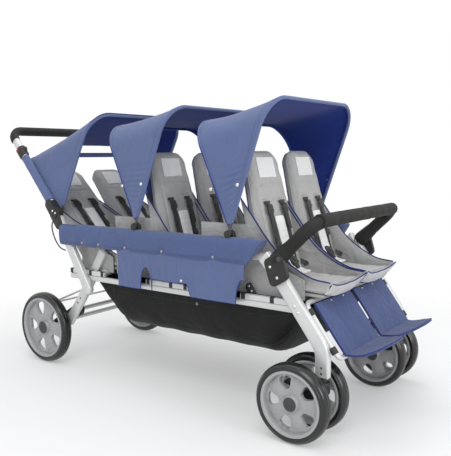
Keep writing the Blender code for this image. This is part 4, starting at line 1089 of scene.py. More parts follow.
@dataclass
class Wheels:
    """The six wheels: tyres, five-spoked rims and hub caps."""

    front_radius: float = PLAN.front_axle_z
    rear_radius: float = PLAN.rear_axle[1]
    twin_y: float = 0.060
    rear_y: float = 0.2925
    half: float = 0.0225
    depth: float = 0.0205
    spokes: int = 5

    def build(self) -> None:
        """Models a front and a rear wheel once and sets copies on their axles."""
        for kind, radius in (("front", self.front_radius), ("rear", self.rear_radius)):
            tyre, rim, cap = self.tyre(radius), self.rim(radius), self.cap(radius)
            for side in Side:
                for place, way in (("outer", 1), ("inner", -1)) if kind == "front" else (("", 1),):
                    y = side.value * (PLAN.frame_y + way * self.twin_y if kind == "front" else self.rear_y)
                    x, z = (0.0, PLAN.front_axle_z) if kind == "front" else PLAN.rear_axle
                    name = f"{kind}_{side.word}" + (f"_{place}" if place else "")
                    put = along(Vector((0, side.value * way, 0)), at(x, y, z))
                    body = Frame.body_of[f"tyre_{name}"]
                    piece(copied(tyre, put), f"wheel_tyre_{name}", RUBBER, body, [f"tyre_{name}"], smooth=35)
                    piece(copied(rim, put), f"wheel_rim_{name}", RIM, body, [f"rim_{name}"], smooth=35)
                    piece(copied(cap, put), f"hub_cap_{name}", CAP, body, smooth=35)
            for model in (tyre, rim, cap):
                drop(model)

    def tyre(self, radius: float) -> bpy.types.Object:
        """A solid tyre with a sidewall step and two grooves round its tread."""
        seat, r, h = radius - self.depth, radius, self.half
        half = [
            (seat, h - 0.003), (seat + 0.001, h - 0.0006), (seat + 0.004, h), (r - 0.0125, h),
            (r - 0.0118, h + 0.0008), (r - 0.0100, h + 0.0008), (r - 0.0092, h - 0.0006),
            (r - 0.0060, h - 0.0028), (r - 0.0030, h - 0.0062), (r - 0.0012, h - 0.0100),
            (r - 0.0003, h - 0.0138), (r, h - 0.0160), (r - 0.0018, h - 0.0166),
            (r - 0.0018, h - 0.0182), (r, h - 0.0188),
        ]
        return spun(half + [(a, -b) for a, b in reversed(half)], Matrix(), 72, closed=True)

    def rim(self, radius: float) -> bpy.types.Object:
        """The rim: a dished flange, a disc with five rounded windows and domed spokes, and its hub."""
        seat, h = radius - self.depth - 0.0002, self.half
        shell = [
            (seat, h - 0.0028), (seat - 0.0012, h - 0.0008), (seat - 0.0045, h - 0.0002),
            (seat - 0.0085, h - 0.0010), (seat - 0.0105, h - 0.0032), (seat - 0.0125, h - 0.0120),
            (seat - 0.0130, 0.0),
        ]
        ring = spun(shell + [(a, -b) for a, b in reversed(shell[:-1])], Matrix(), 72, closed=True)
        outer = seat - 0.0115
        rings = 12
        front = [(0.010 + (outer - 0.010) * i / rings, 0.0075) for i in range(rings + 1)]
        back = [(a, -0.0065) for a, _ in reversed(front)]
        disc = spun(front + back, Matrix(), 90, closed=True)
        for i in range(self.spokes):
            cutter = plate(self.window(radius, 2 * math.pi * (i + 0.5) / self.spokes), Matrix(), 0.08)
            disc = modify(disc, "BOOLEAN", object=cutter, operation="DIFFERENCE", solver="EXACT")
            drop(cutter)
        disc = round_edges(disc, 0.0016, 2, 60)
        for vertex in disc.data.vertices:
            vertex.co.z += self.dome(vertex.co, outer)
        boss = [
            (0, 0.0178), (0.0200, 0.0178), (0.0232, 0.0166), (0.0262, 0.0120), (0.0300, 0.0065),
            (0.0300, -0.0065),
        ]
        boss += [(0.0220, -0.0120), (0.0200, -0.0190), (0.0066, -0.0190), (0.0066, 0.0116), (0, 0.0116)]
        return joined(disc, ring, spun(boss, Matrix(), 40))

    def window(self, radius: float, middle: float) -> list[Point]:
        """The rounded outline of one window of the rim."""
        low, high = 0.36 * radius, radius - self.depth - 0.0185
        points = []
        for i in range(36):
            t = 2 * math.pi * i / 36
            c, s = math.cos(t), math.sin(t)
            r = (low + high) / 2 + (high - low) / 2 * math.copysign(abs(s) ** 0.62, s)
            swing = math.radians(18.5) * (0.74 + 0.26 * (r - low) / (high - low))
            turn = middle + swing * math.copysign(abs(c) ** 0.62, c)
            points.append((r * math.cos(turn), r * math.sin(turn)))
        return points

    def dome(self, place: Vector, outer: float) -> float:
        """How far the spokes swell out of the disc at a place."""
        r = math.hypot(place.x, place.y)
        turn = math.atan2(place.y, place.x)
        crest = (0.5 + 0.5 * math.cos(self.spokes * turn)) ** 1.3
        share = min(1.0, max(0.0, (r - 0.026) / (outer - 0.026)))
        swell = math.sin(math.pi * share ** 0.8) * crest
        front = place.z > 0
        return (0.0068 * swell - 0.0035 * share) if front else 0.0028 * swell - 0.0030 * share

    def cap(self, radius: float) -> bpy.types.Object:
        """A dark round hub cap with a stepped edge."""
        r = 0.0218 if radius < 0.13 else 0.0262
        profile = [
            (0, 0.0212), (r * 0.55, 0.0210), (r * 0.86, 0.0202), (r * 0.90, 0.0188), (r, 0.0184), (r, 0.0172)
        ]
        return spun(profile + [(0, 0.0172)], Matrix(), 40)


@dataclass
class Casters:
    """The two swivelling forks between the twin front wheels."""

    trail: float = 0.070
    crown_z: float = 0.158
    thick: float = 0.030

    def build(self) -> None:
        """Makes both forks."""
        for side in Side:
            body = Frame.body_of[f"caster_fork_{side.word}"]
            y = side.value * PLAN.frame_y
            axle, crown = (0.0, PLAN.front_axle_z), (self.trail, self.crown_z)
            arm = plate(capsule(crown, 0.0188, axle, 0.0205, 14), side_plane(y), self.thick, 0.004)
            spine = capsule((0.052, 0.150), 0.0085, (0.012, 0.130), 0.0085, 10)
            rib = plate(spine, side_plane(y), self.thick + 0.005, 0.0015)
            neck = [
                (0, 0.1972), (0.0140, 0.1972), (0.0145, 0.1920), (0.0145, 0.1880), (0.0200, 0.1870),
                (0.0215, 0.1850),
            ]
            neck += [(0.0215, 0.1790), (0.0185, 0.1740), (0.0165, 0.1600), (0, 0.1600)]
            stem = spun(neck, Matrix.Translation(at(self.trail, y, 0)), 32)
            barrel = self.bar(axle, y, 0.0405, 0.0125)
            collar = self.bar(axle, y, 0.0300, 0.0165)
            pedal = plate(
                [
                    (-0.018, 0.150), (-0.034, 0.166), (-0.056, 0.170), (-0.058, 0.163), (-0.036, 0.157),
                    (-0.022, 0.140),
                ],
                side_plane(y),
                0.036,
                0.002,
            )
            whole = joined(arm, rib, stem, barrel, collar, pedal)
            piece(whole, f"caster_body_{side.word}", PLASTIC, body, [f"caster_fork_{side.word}"])
            coil = []
            for t in (i / 70 for i in range(71)):
                turn = Vector((0, 0.0095 * math.cos(26 * t), 0.0095 * math.sin(26 * t)))
                coil.append(at(0.046 - 0.030 * t, y, 0.178 - 0.030 * t) + turn)
            piece(tube(coil, 0.0016, steps=8), f"caster_spring_{side.word}", DARK_ROD, body)

    def bar(self, point: Point, y: float, reach: float, radius: float) -> bpy.types.Object:
        """A round bar across, with eased ends."""
        ease = 0.0015
        half = [(0, reach), (radius - ease, reach), (radius, reach - ease)]
        profile = half + [(a, -b) for a, b in reversed(half)]
        return spun(profile, along(Vector((0, 1, 0)), at(point[0], y, point[1])), 28)


# Frame


@dataclass
class Tubes:
    """The silver side frames: rails, legs, uprights, cross tubes and their rivets."""

    thick: float = 0.024
    ease: float = 0.0065
    rail_thick: float = 0.0158
    rail_ease: float = 0.0035
    rear_leg_y: float = 0.2544
    bracket_y: float = 0.23555
    bracket_thick: float = 0.0151
    outer_face: float = 0.3061
    rear_leg_face: float = 0.2656

    def build(self) -> None:
        """Makes every tube of the side frames."""
        for side in Side:
            self.rails(side)
            self.front_leg(side)
            self.upright(side)
            self.rear_leg(side)
            self.rivets(side)
        self.cross_tubes()

    def bar(
        self, outline: Sequence[Point], y: float, thick: float, ease: float, name: str, node: str
    ) -> None:
        """One flat bar that stands for a node."""
        shape = plate(outline, side_plane(y), thick, ease)
        piece(shape, name, SILVER, Frame.body_of[node], [node], smooth=35)

    def rails(self, side: Side) -> None:
        """The lower and the upper rail."""
        y = side.value * PLAN.rail_y
        low = capsule((-1.095, PLAN.rail_z), 0.010, (-0.0124, PLAN.rail_z), 0.010)
        high = capsule((-1.1103, PLAN.upper_rail_z), 0.0125, (-0.1151, PLAN.upper_rail_z), 0.0125)
        for word, outline in (("lower", low), ("upper", high)):
            name, node = f"{word}_side_rail_{side.word}", f"{word}_rail_{side.word}"
            self.bar(outline, y, self.rail_thick, self.rail_ease, name, node)

    def front_leg(self, side: Side) -> None:
        """The front leg, bent above its caster."""
        path = rounded([(0.070, 0.1983), (0.070, 0.286), (-0.095, 0.506), (-0.141, 0.554)], 0.09, 16)
        name, node = f"front_leg_tube_{side.word}", f"front_leg_{side.word}"
        self.bar(strip(path, 0.023), side.value * PLAN.frame_y, self.thick, self.ease, name, node)

    def upright(self, side: Side) -> None:
        """The rear upright, round at its foot."""
        run = (Vector(PLAN.hub) - Vector(PLAN.upright_foot)).normalized()
        top = Vector(PLAN.hub) - run * 0.030
        outline = capsule(PLAN.upright_foot, 0.020, tuple(top), 0.020, 14)
        name, node = f"rear_upright_tube_{side.word}", f"rear_upright_{side.word}"
        self.bar(outline, side.value * PLAN.frame_y, self.thick, self.ease, name, node)

    def rear_leg(self, side: Side) -> None:
        """The curved rear leg and its black wheel bracket."""
        ends = Vector((-1.157, 0.175)), Vector((-0.924, 0.502))
        knee = 2 * Vector((-1.034, 0.336)) - (ends[0] + ends[1]) / 2
        shares = [i / 22 for i in range(23)]
        path = [tuple((1 - t) ** 2 * ends[0] + 2 * t * (1 - t) * knee + t * t * ends[1]) for t in shares]
        name, node = f"rear_leg_tube_{side.word}", f"rear_leg_{side.word}"
        self.bar(strip(path, 0.020), side.value * self.rear_leg_y, 0.0218, 0.006, name, node)
        y = side.value * self.bracket_y
        node = f"rear_wheel_bracket_{side.word}"
        arm = capsule((-1.110, 0.235), 0.026, PLAN.rear_axle, 0.022, 16)
        lip = capsule((-1.112, 0.234), 0.018, (-1.225, 0.172), 0.010, 12)
        plates = [
            plate(arm, side_plane(y), self.bracket_thick, 0.003),
            plate(lip, side_plane(y - side.value * 0.004), self.bracket_thick, 0.002),
        ]
        hub = spun(
            [
                (0, 0.040), (0.011, 0.040), (0.0125, 0.037), (0.0125, 0.012), (0.020, 0.0075),
                (0.020, 0.0), (0, 0.0),
            ],
            along(Vector((0, side.value, 0)), at(PLAN.rear_axle[0], side.value * 0.2345, PLAN.rear_axle[1])),
            32,
        )
        piece(joined(*plates, hub), f"rear_bracket_{side.word}", PLASTIC, Frame.body_of[node], [node])

    def cross_tubes(self) -> None:
        """The two round tubes between the rear legs."""
        for word, (x, z) in (("upper", (-1.115, 0.234)), ("lower", (-1.140, 0.195))):
            path = [at(x, y, z) for y in (-0.2272, -0.226, 0.226, 0.2272)]
            node = f"rear_cross_tube_{word}"
            piece(tube(path, 0.009, steps=24), f"rear_cross_bar_{word}", SILVER, Frame.body_of[node], [node])

    def rivets(self, side: Side) -> None:
        """Rivet heads at the frame's pivots, and screws in the front legs."""
        rivet, screw, small = Rivet(0.0062, 0.0030), Rivet(0.0038, 0.0012), Rivet(0.004, 0.0014)
        pivots = facing(side, self.outer_face, [PLAN.front_lower, (-0.0235, 0.4065)])
        rivet.put(f"leg_rivets_{side.word}", pivots, STEEL, "front_legs")
        screws = facing(side, self.outer_face, [(0.0705, 0.232), (0.0705, 0.2135)])
        screw.put(f"leg_screws_{side.word}", screws, DARK_ROD, "front_legs")
        pivots = facing(side, self.outer_face, [PLAN.rear_lower])
        rivet.put(f"upright_rivets_{side.word}", pivots, STEEL, "rear_uprights")
        screws = facing(side, self.rear_leg_face, [(-1.0655, 0.293), (-1.083, 0.272)])
        small.put(f"rear_leg_screws_{side.word}", screws, DARK_ROD, "chassis")


@dataclass
class Handle:
    """The push handle: tube, foam grip, fold hubs, release slides and their cables."""

    lean: float = PLAN.handle_lean
    length: float = 0.452
    corner: float = 0.050
    tube_size: Point = (0.024, 0.034)
    grip_size: Point = (0.032, 0.041)
    collar_size: Point = (0.0352, 0.0452)
    collar_stops: tuple[float, ...] = (0.3078, 0.3095, 0.330, 0.3505, 0.3522)
    collar_scales: tuple[float, ...] = (0.92, 1.0, 1.0, 1.0, 0.92)
    lever_at: float = 0.326
    mark_at: Point = (0.345, 0.0178)
    shell_y: float = 0.3085
    cap_y: float = 0.3128
    rivet_y: float = 0.3143
    cable_y: float = 0.300
    cable_thick: float = 0.0052
    cable_turns: tuple[Point, ...] = (
        (-1.172, 0.618), (-1.186, 0.590), (-1.180, 0.556), (-1.160, 0.522), (-1.134, 0.500)
    )
    cable_end: Point = (-1.110, 0.492)

    def path(self, start: float) -> list[Vector]:
        """The handle's centre line from one side's start round to the other's."""
        half = PLAN.frame_y
        corners = [(-half, start), (-half, self.length), (half, self.length), (half, start)]
        plane = lean_plane(PLAN.hub, self.lean)
        return [plane @ Vector((a, b, 0)) for a, b in rounded(corners, self.corner, 12)]

    def normal(self) -> Vector:
        """The direction square to the handle's plane."""
        return lean_plane(PLAN.hub, self.lean).to_3x3() @ Vector((0, 0, 1))

    def build(self) -> None:
        """Makes the handle and what it carries."""
        body = "push_handle"
        bar = self.sweep_flat(self.path(0.030), *self.tube_size)
        piece(bar, "handle_tube", SILVER, body, ["handle_frame"])
        grip = self.sweep_flat(self.grip_path(), *self.grip_size)
        piece(grip, "handle_foam", FOAM, body, ["handle_grip"], smooth=60)
        for side in Side:
            self.slide(side)
            self.hub(side)
            self.cable(side)

    def grip_path(self) -> list[Vector]:
        """The centre line of the foam."""
        return self.path(self.length - self.corner - 0.004)

    def sweep_flat(self, path: Sequence[Vector], thin: float, wide: float) -> bpy.types.Object:
        """A flat-oval bar whose wide way lies across its own plane's sides."""
        normal = self.normal()
        section = [(b, a) for a, b in oval_of(thin, wide, 8)]
        return sweep(path, section, normal)

    def on_tube(self, side: Side, along_tube: float, out: float = 0.0) -> Vector:
        """A point beside a handle tube."""
        plane = lean_plane(PLAN.hub, self.lean)
        return plane @ Vector((side.value * (PLAN.frame_y + out), along_tube, 0))

    def turned(self, out: Vector) -> Matrix:
        """Local x is square to the handle's plane, local y runs up the tube and local z is the given way."""
        plane = lean_plane(PLAN.hub, self.lean).to_3x3()
        return Matrix((plane @ Vector((0, 0, 1)), plane @ Vector((0, 1, 0)), out)).transposed().to_4x4()

    def slide(self, side: Side) -> None:
        """The release slide: a collar, its thumb lever and a red mark."""
        path = [self.on_tube(side, s) for s in self.collar_stops]
        normal = self.normal()
        section = oval_of(*self.collar_size, 8)
        rings = []
        for point, scale in zip(path, self.collar_scales):
            rings.append([point + Vector((0, 1, 0)) * a * scale + normal * b * scale for a, b in section])
        collar = skin(rings)
        outline = [(0.010, -0.012), (0.014, 0.006), (0.030, 0.012), (0.033, 0.005), (0.021, -0.014)]
        lever = plate(outline, Matrix(), 0.014, 0.002)
        # the lever stands out of the collar's rear face
        lever.data.transform(
            Matrix.Translation(self.on_tube(side, self.lever_at)) @ self.turned(Vector((0, 1, 0)))
        )
        body, node = f"release_{side.word}", f"release_slide_{side.word}"
        piece(joined(collar, outwards(lever)), f"release_collar_{side.word}", PLASTIC, body, [node])
        mark = plate(box_outline(-0.008, -0.004, 0.008, 0.004), Matrix(), 0.0012, 0.0004)
        outer = self.turned(Vector((0, side.value, 0)))
        mark.data.transform(Matrix.Translation(self.on_tube(side, *self.mark_at)) @ outer)
        piece(outwards(mark), f"release_mark_{side.word}", RED, body)

    def hub(self, side: Side) -> None:
        """The black shells of a fold hub, with their rivets."""
        inner = side_plane(side.value * PLAN.frame_y)
        run = (Vector(PLAN.hub) - Vector(PLAN.upright_foot)).normalized()
        down = Vector(PLAN.hub) - run * 0.050
        shell = capsule(PLAN.hub, 0.0285, tuple(down), 0.0225, 16)
        disc = plate(shell, side_plane(side.value * self.shell_y), 0.0056, 0.0018)
        core = plate(arc(PLAN.hub, 0.0262, 0, 2 * math.pi * 39 / 40, 39), inner, 0.0238, 0.001)
        piece(joined(disc, core), f"hub_shell_{side.word}", PLASTIC, "rear_uprights")
        plane = lean_plane(PLAN.hub, self.lean)
        up = plane.to_3x3() @ Vector((0, 1, 0))
        head = (PLAN.hub[0] + up.x * 0.046, PLAN.hub[1] + up.z * 0.046)
        outer = side_plane(side.value * self.cap_y)
        cap = plate(capsule(PLAN.hub, 0.0225, head, 0.0205, 16), outer, 0.0030, 0.001)
        low = (PLAN.hub[0] + up.x * 0.022, PLAN.hub[1] + up.z * 0.022)
        neck = plate(capsule(low, 0.0195, head, 0.0195, 14), inner, 0.0262, 0.002)
        piece(joined(cap, neck), f"hub_cap_plate_{side.word}", PLASTIC, "push_handle")
        spots = [(PLAN.hub[0] - 0.004, PLAN.hub[1] + 0.010), (PLAN.hub[0] + 0.012, PLAN.hub[1] + 0.002)]
        heads = facing(side, self.rivet_y, spots)
        Rivet(0.0045, 0.0022).put(f"hub_rivets_{side.word}", heads, STEEL, "push_handle")

    def cable(self, side: Side) -> None:
        """The thin release cable, held at both ends, that bows out behind the upright."""
        y = side.value * self.cable_y
        x, z = self.cable_end
        spots = [at(x, y, z) for x, z in self.cable_turns] + [at(x, y * 0.985, z)]
        path = spline(spots, 60)
        shape = tube(path, self.cable_thick / 2, steps=10)
        made = piece(shape, f"release_cable_{side.word}", PLASTIC, "rear_uprights")


@dataclass
class Brake:
    """The thin foot brake bar between the rear wheels."""

    pivot: Point = (-1.030, 0.345)
    half: float = 0.2335
    length: float = 0.2915
    lean: float = math.radians(-112.2)

    def build(self) -> None:
        """Makes the rod and its pivots."""
        plane = lean_plane(self.pivot, self.lean)
        corners = [(-self.half, 0), (-self.half, self.length), (self.half, self.length), (self.half, 0)]
        rod = tube([plane @ Vector((a, b, 0)) for a, b in rounded(corners, 0.030, 10)], 0.0045, steps=16)
        eyes = [
            spun(
                [(0, 0.0096), (0.0065, 0.0096), (0.008, 0.0080), (0.008, -0.0050), (0, -0.0050)],
                along(Vector((0, side.value, 0)), at(self.pivot[0], side.value * self.half, self.pivot[1])),
                24,
            )
            for side in Side
        ]
        piece(joined(rod, *eyes), "foot_brake_rod", SILVER, "brake", ["brake_bar"])


@dataclass
class SeatFrames:
    """What carries each row: silver side bars, a cross bar, the recline tube and its black plates."""

    bar_x: tuple[float, float] = (-0.245, -0.040)
    bar_z: tuple[float, float] = (0.3984, 0.4182)
    bar_thick: float = 0.0152
    cross: Point = (-0.055, 0.41245)
    cross_half: float = 0.2650
    turn_half: float = 0.262
    clip_x: tuple[float, ...] = (-0.232, -0.120, -0.052)
    clip_y: float = 0.2736
    plate_y: float = 0.2617
    rivet_y: float = 0.2642

    def build(self) -> None:
        """Makes the three rows' frames."""
        for row in Row:
            back = row.shift
            axis = (back + PLAN.recline[0], PLAN.recline[1])
            body = Frame.body_of[f"seat_frame_{row.word}"]
            cross = self.across((back + self.cross[0], self.cross[1]), self.cross_half, 0.0138, 24)
            turn = self.across(axis, self.turn_half, 0.0079, 20)
            bars = [self.side_bar(back, side) for side in Side]
            piece(
                joined(cross, turn, *bars), f"seat_tubes_{row.word}", SILVER, body, [f"seat_frame_{row.word}"]
            )
            plates = [self.hinge(axis, side) for side in Side]
            clips = [self.clip(back + x, side) for side in Side for x in self.clip_x]
            piece(joined(*plates, *clips), f"hinge_plates_{row.word}", PLASTIC, body)
            spots = [(axis[0] - 0.001, axis[1] + 0.004), (axis[0] + 0.009, axis[1] - 0.012)]
            heads = [head for side in Side for head in facing(side, self.rivet_y, spots)]
            Rivet(0.0042, 0.0014).put(f"hinge_rivets_{row.word}", heads, STEEL, body)

    def across(self, point: Point, half: float, radius: float, steps: int) -> bpy.types.Object:
        """A round tube from side to side, with short end pieces that keep its caps flat."""
        end = 0.001
        path = [at(point[0], y, point[1]) for y in (-half, end - half, half - end, half)]
        return tube(path, radius, steps=steps)

    def side_bar(self, back: float, side: Side) -> bpy.types.Object:
        """One side bar, a flat tube right over the lower rail."""
        (rear, front), (low, high) = self.bar_x, self.bar_z
        outline = box_outline(back + rear, low, back + front, high)
        return plate(outline, side_plane(side.value * PLAN.rail_y), self.bar_thick, 0.003)

    def hinge(self, axis: Point, side: Side) -> bpy.types.Object:
        """One black hinge plate, wider at its foot."""
        foot = (axis[0] + 0.012, 0.4120)
        outline = capsule(foot, 0.0165, axis, 0.0145, 14)
        return plate(outline, side_plane(side.value * self.plate_y), 0.0052, 0.0015)

    def clip(self, x: float, side: Side) -> bpy.types.Object:
        """A black clip round a side bar."""
        outline = box_outline(x - 0.010, 0.3986, x + 0.010, 0.4190)
        return plate(outline, side_plane(side.value * self.clip_y), 0.0156, 0.0025)


# Seats


def recline_place(row: Row, side: Side) -> Matrix:
    """A seat's place on its recline tube, turned with its back."""
    x, z = PLAN.recline
    turn = Matrix.Rotation(-row.recline, 4, "Y")
    return Matrix.Translation(at(x + row.shift, side.value * PLAN.seat_y, z)) @ turn


@dataclass
class SeatBack:
    """A padded seat back in its own frame: x forward from its front face, y across, z up from its foot."""

    half: float = 0.109
    height: float = 0.440
    thick: float = 0.030
    corner: float = 0.052
    lean: float = math.radians(14.2)
    foot: tuple[float, float, float] = (0.067, 0, 0.021)
    seam_y: float = 0.074
    seam_z: float = 0.318
    short_seam: Point = (0.046, 0.268)
    puff: float = 0.007
    rear_face: float = -0.0385
    front_face: float = 0.0105

    def place(self, row: Row, side: Side) -> Matrix:
        """Where a back stands."""
        lean = Matrix.Rotation(-self.lean, 4, "Y")
        return recline_place(row, side) @ Matrix.Translation(self.foot) @ lean

    def outline(self, shrink: float) -> list[Point]:
        """The back's outline as (y, z) points: straight below, narrower and rounded at its head."""
        h, top = self.half - shrink, self.height - shrink
        head = h - 0.026
        side = [(h - 0.004, shrink), (h, 0.10), (h, 0.24), (h - 0.008, 0.33)]
        steps = 10
        turns = [math.radians(12 + 78 * i / steps) for i in range(steps + 1)]
        y, z = head - self.corner + 0.012, top - self.corner
        turn = [(y + self.corner * math.cos(a), z + self.corner * math.sin(a)) for a in turns]
        right = side + turn
        return right + [(-y, z) for y, z in reversed(right)]

    def model(self) -> bpy.types.Object:
        """The cushion, swollen by simulation, with its seams pressed in."""
        middle = Matrix.Translation((-0.019, 0, 0)) @ STANDING
        shape = plate(self.outline(0.006), middle, self.thick - 0.004, 0.006, 2)
        shape = inflate(shape, self.puff)
        low = Vector((-0.0375, 0.001 - self.half, 0.001))
        fitted(shape, low, Vector((0.0035, self.half - 0.001, self.height - 0.001)))
        for vertex in shape.data.vertices:
            vertex.co = self.shape(vertex.co)
        for polygon in shape.data.polygons:
            middle, out = polygon.center, polygon.normal
            border = abs(middle.y) > self.seam_y + 0.004 or middle.z > 0.431
            polygon.material_index = 1 if border or out.x < 0.15 else 0
        return shape

    def shape(self, place: Vector) -> Vector:
        """The place of a point with the seams, the headrest fold and small wrinkles in."""
        x, y, z = place
        front = ease_in((x + 0.016) / 0.012)
        fold = groove(z - self.seam_z, 0.0034) * (abs(y) < self.seam_y + 0.004)
        line = max(groove(abs(y) - self.seam_y, 0.0032), fold)
        short_y, short_z = self.short_seam
        line = max(line, groove(z - short_z, 0.0030) * (abs(abs(y) - short_y) < 0.018))
        rib = 0.0010 * wave(0, y, z, 34, 3.1) + 0.0014 * wave(x, y, z, 13, 7.7)
        x += front * (rib - 0.0036 * line)
        return Vector((max(self.rear_face, min(self.front_face, x)), y, z))

    def ribbon(
        self, path: Sequence[Sequence[float]], half: float, thick: float, count: int = 40
    ) -> bpy.types.Object:
        """A flat strap along (x, y, z) points of the back's frame, its width across."""
        flat = half - thick * 0.4
        section = [
            (-half, 0), (-flat, thick / 2), (flat, thick / 2), (half, 0), (flat, -thick / 2),
            (-flat, -thick / 2),
        ]
        return sweep(spline(path, count), section, Vector((0, 1, 0)))


def groove(offset: float, width: float) -> float:
    """1 in the middle of a pressed line, fading to 0."""
    return math.exp(-((offset / width) ** 2))


def fitted(obj: bpy.types.Object, low: Vector, high: Vector) -> bpy.types.Object:
    """Stretches a shape so that it fills a box."""
    spots = [v.co for v in obj.data.vertices]
    near = Vector(min(p[i] for p in spots) for i in range(3))
    far = Vector(max(p[i] for p in spots) for i in range(3))
    for vertex in obj.data.vertices:
        shares = [(vertex.co[i] - near[i]) / (far[i] - near[i]) for i in range(3)]
        vertex.co = Vector(low[i] + shares[i] * (high[i] - low[i]) for i in range(3))
    return obj


def inflate(obj: bpy.types.Object, cap: float) -> bpy.types.Object:
    """Swells a closed shape as cloth under pressure, then smooths it.

    Args:
        obj: the closed shape.
        cap: how far a point may move.

    Returns:
        The swollen shape.
    """
    face_size, pressure, last_frame = 0.005, 4.0, 20
    obj = modify(obj, "REMESH", mode="VOXEL", voxel_size=face_size)
    start = [v.co.copy() for v in obj.data.vertices]
    scene = bpy.context.scene
    choose(obj)
    cloth = obj.modifiers.new("cloth", "CLOTH")
    cloth.settings.use_pressure = True
    cloth.settings.uniform_pressure_force = pressure
    cloth.settings.effector_weights.gravity = 0
    cloth.settings.quality = 4
    cloth.collision_settings.use_collision = False
    cloth.point_cache.frame_start, cloth.point_cache.frame_end = 1, last_frame
    for frame in range(1, last_frame + 1):
        scene.frame_set(frame)
    graph = bpy.context.evaluated_depsgraph_get()
    moved = [v.co.copy() for v in obj.evaluated_get(graph).data.vertices]
    obj.modifiers.remove(cloth)
    scene.frame_set(1)
    for vertex, before, after in zip(obj.data.vertices, start, moved):
        step = after - before
        vertex.co = before + step * min(1.0, cap / max(step.length, 1e-9))
    obj = modify(obj, "SMOOTH", factor=0.6, iterations=3)
    return modify(obj, "SUBSURF", levels=1, render_levels=1)


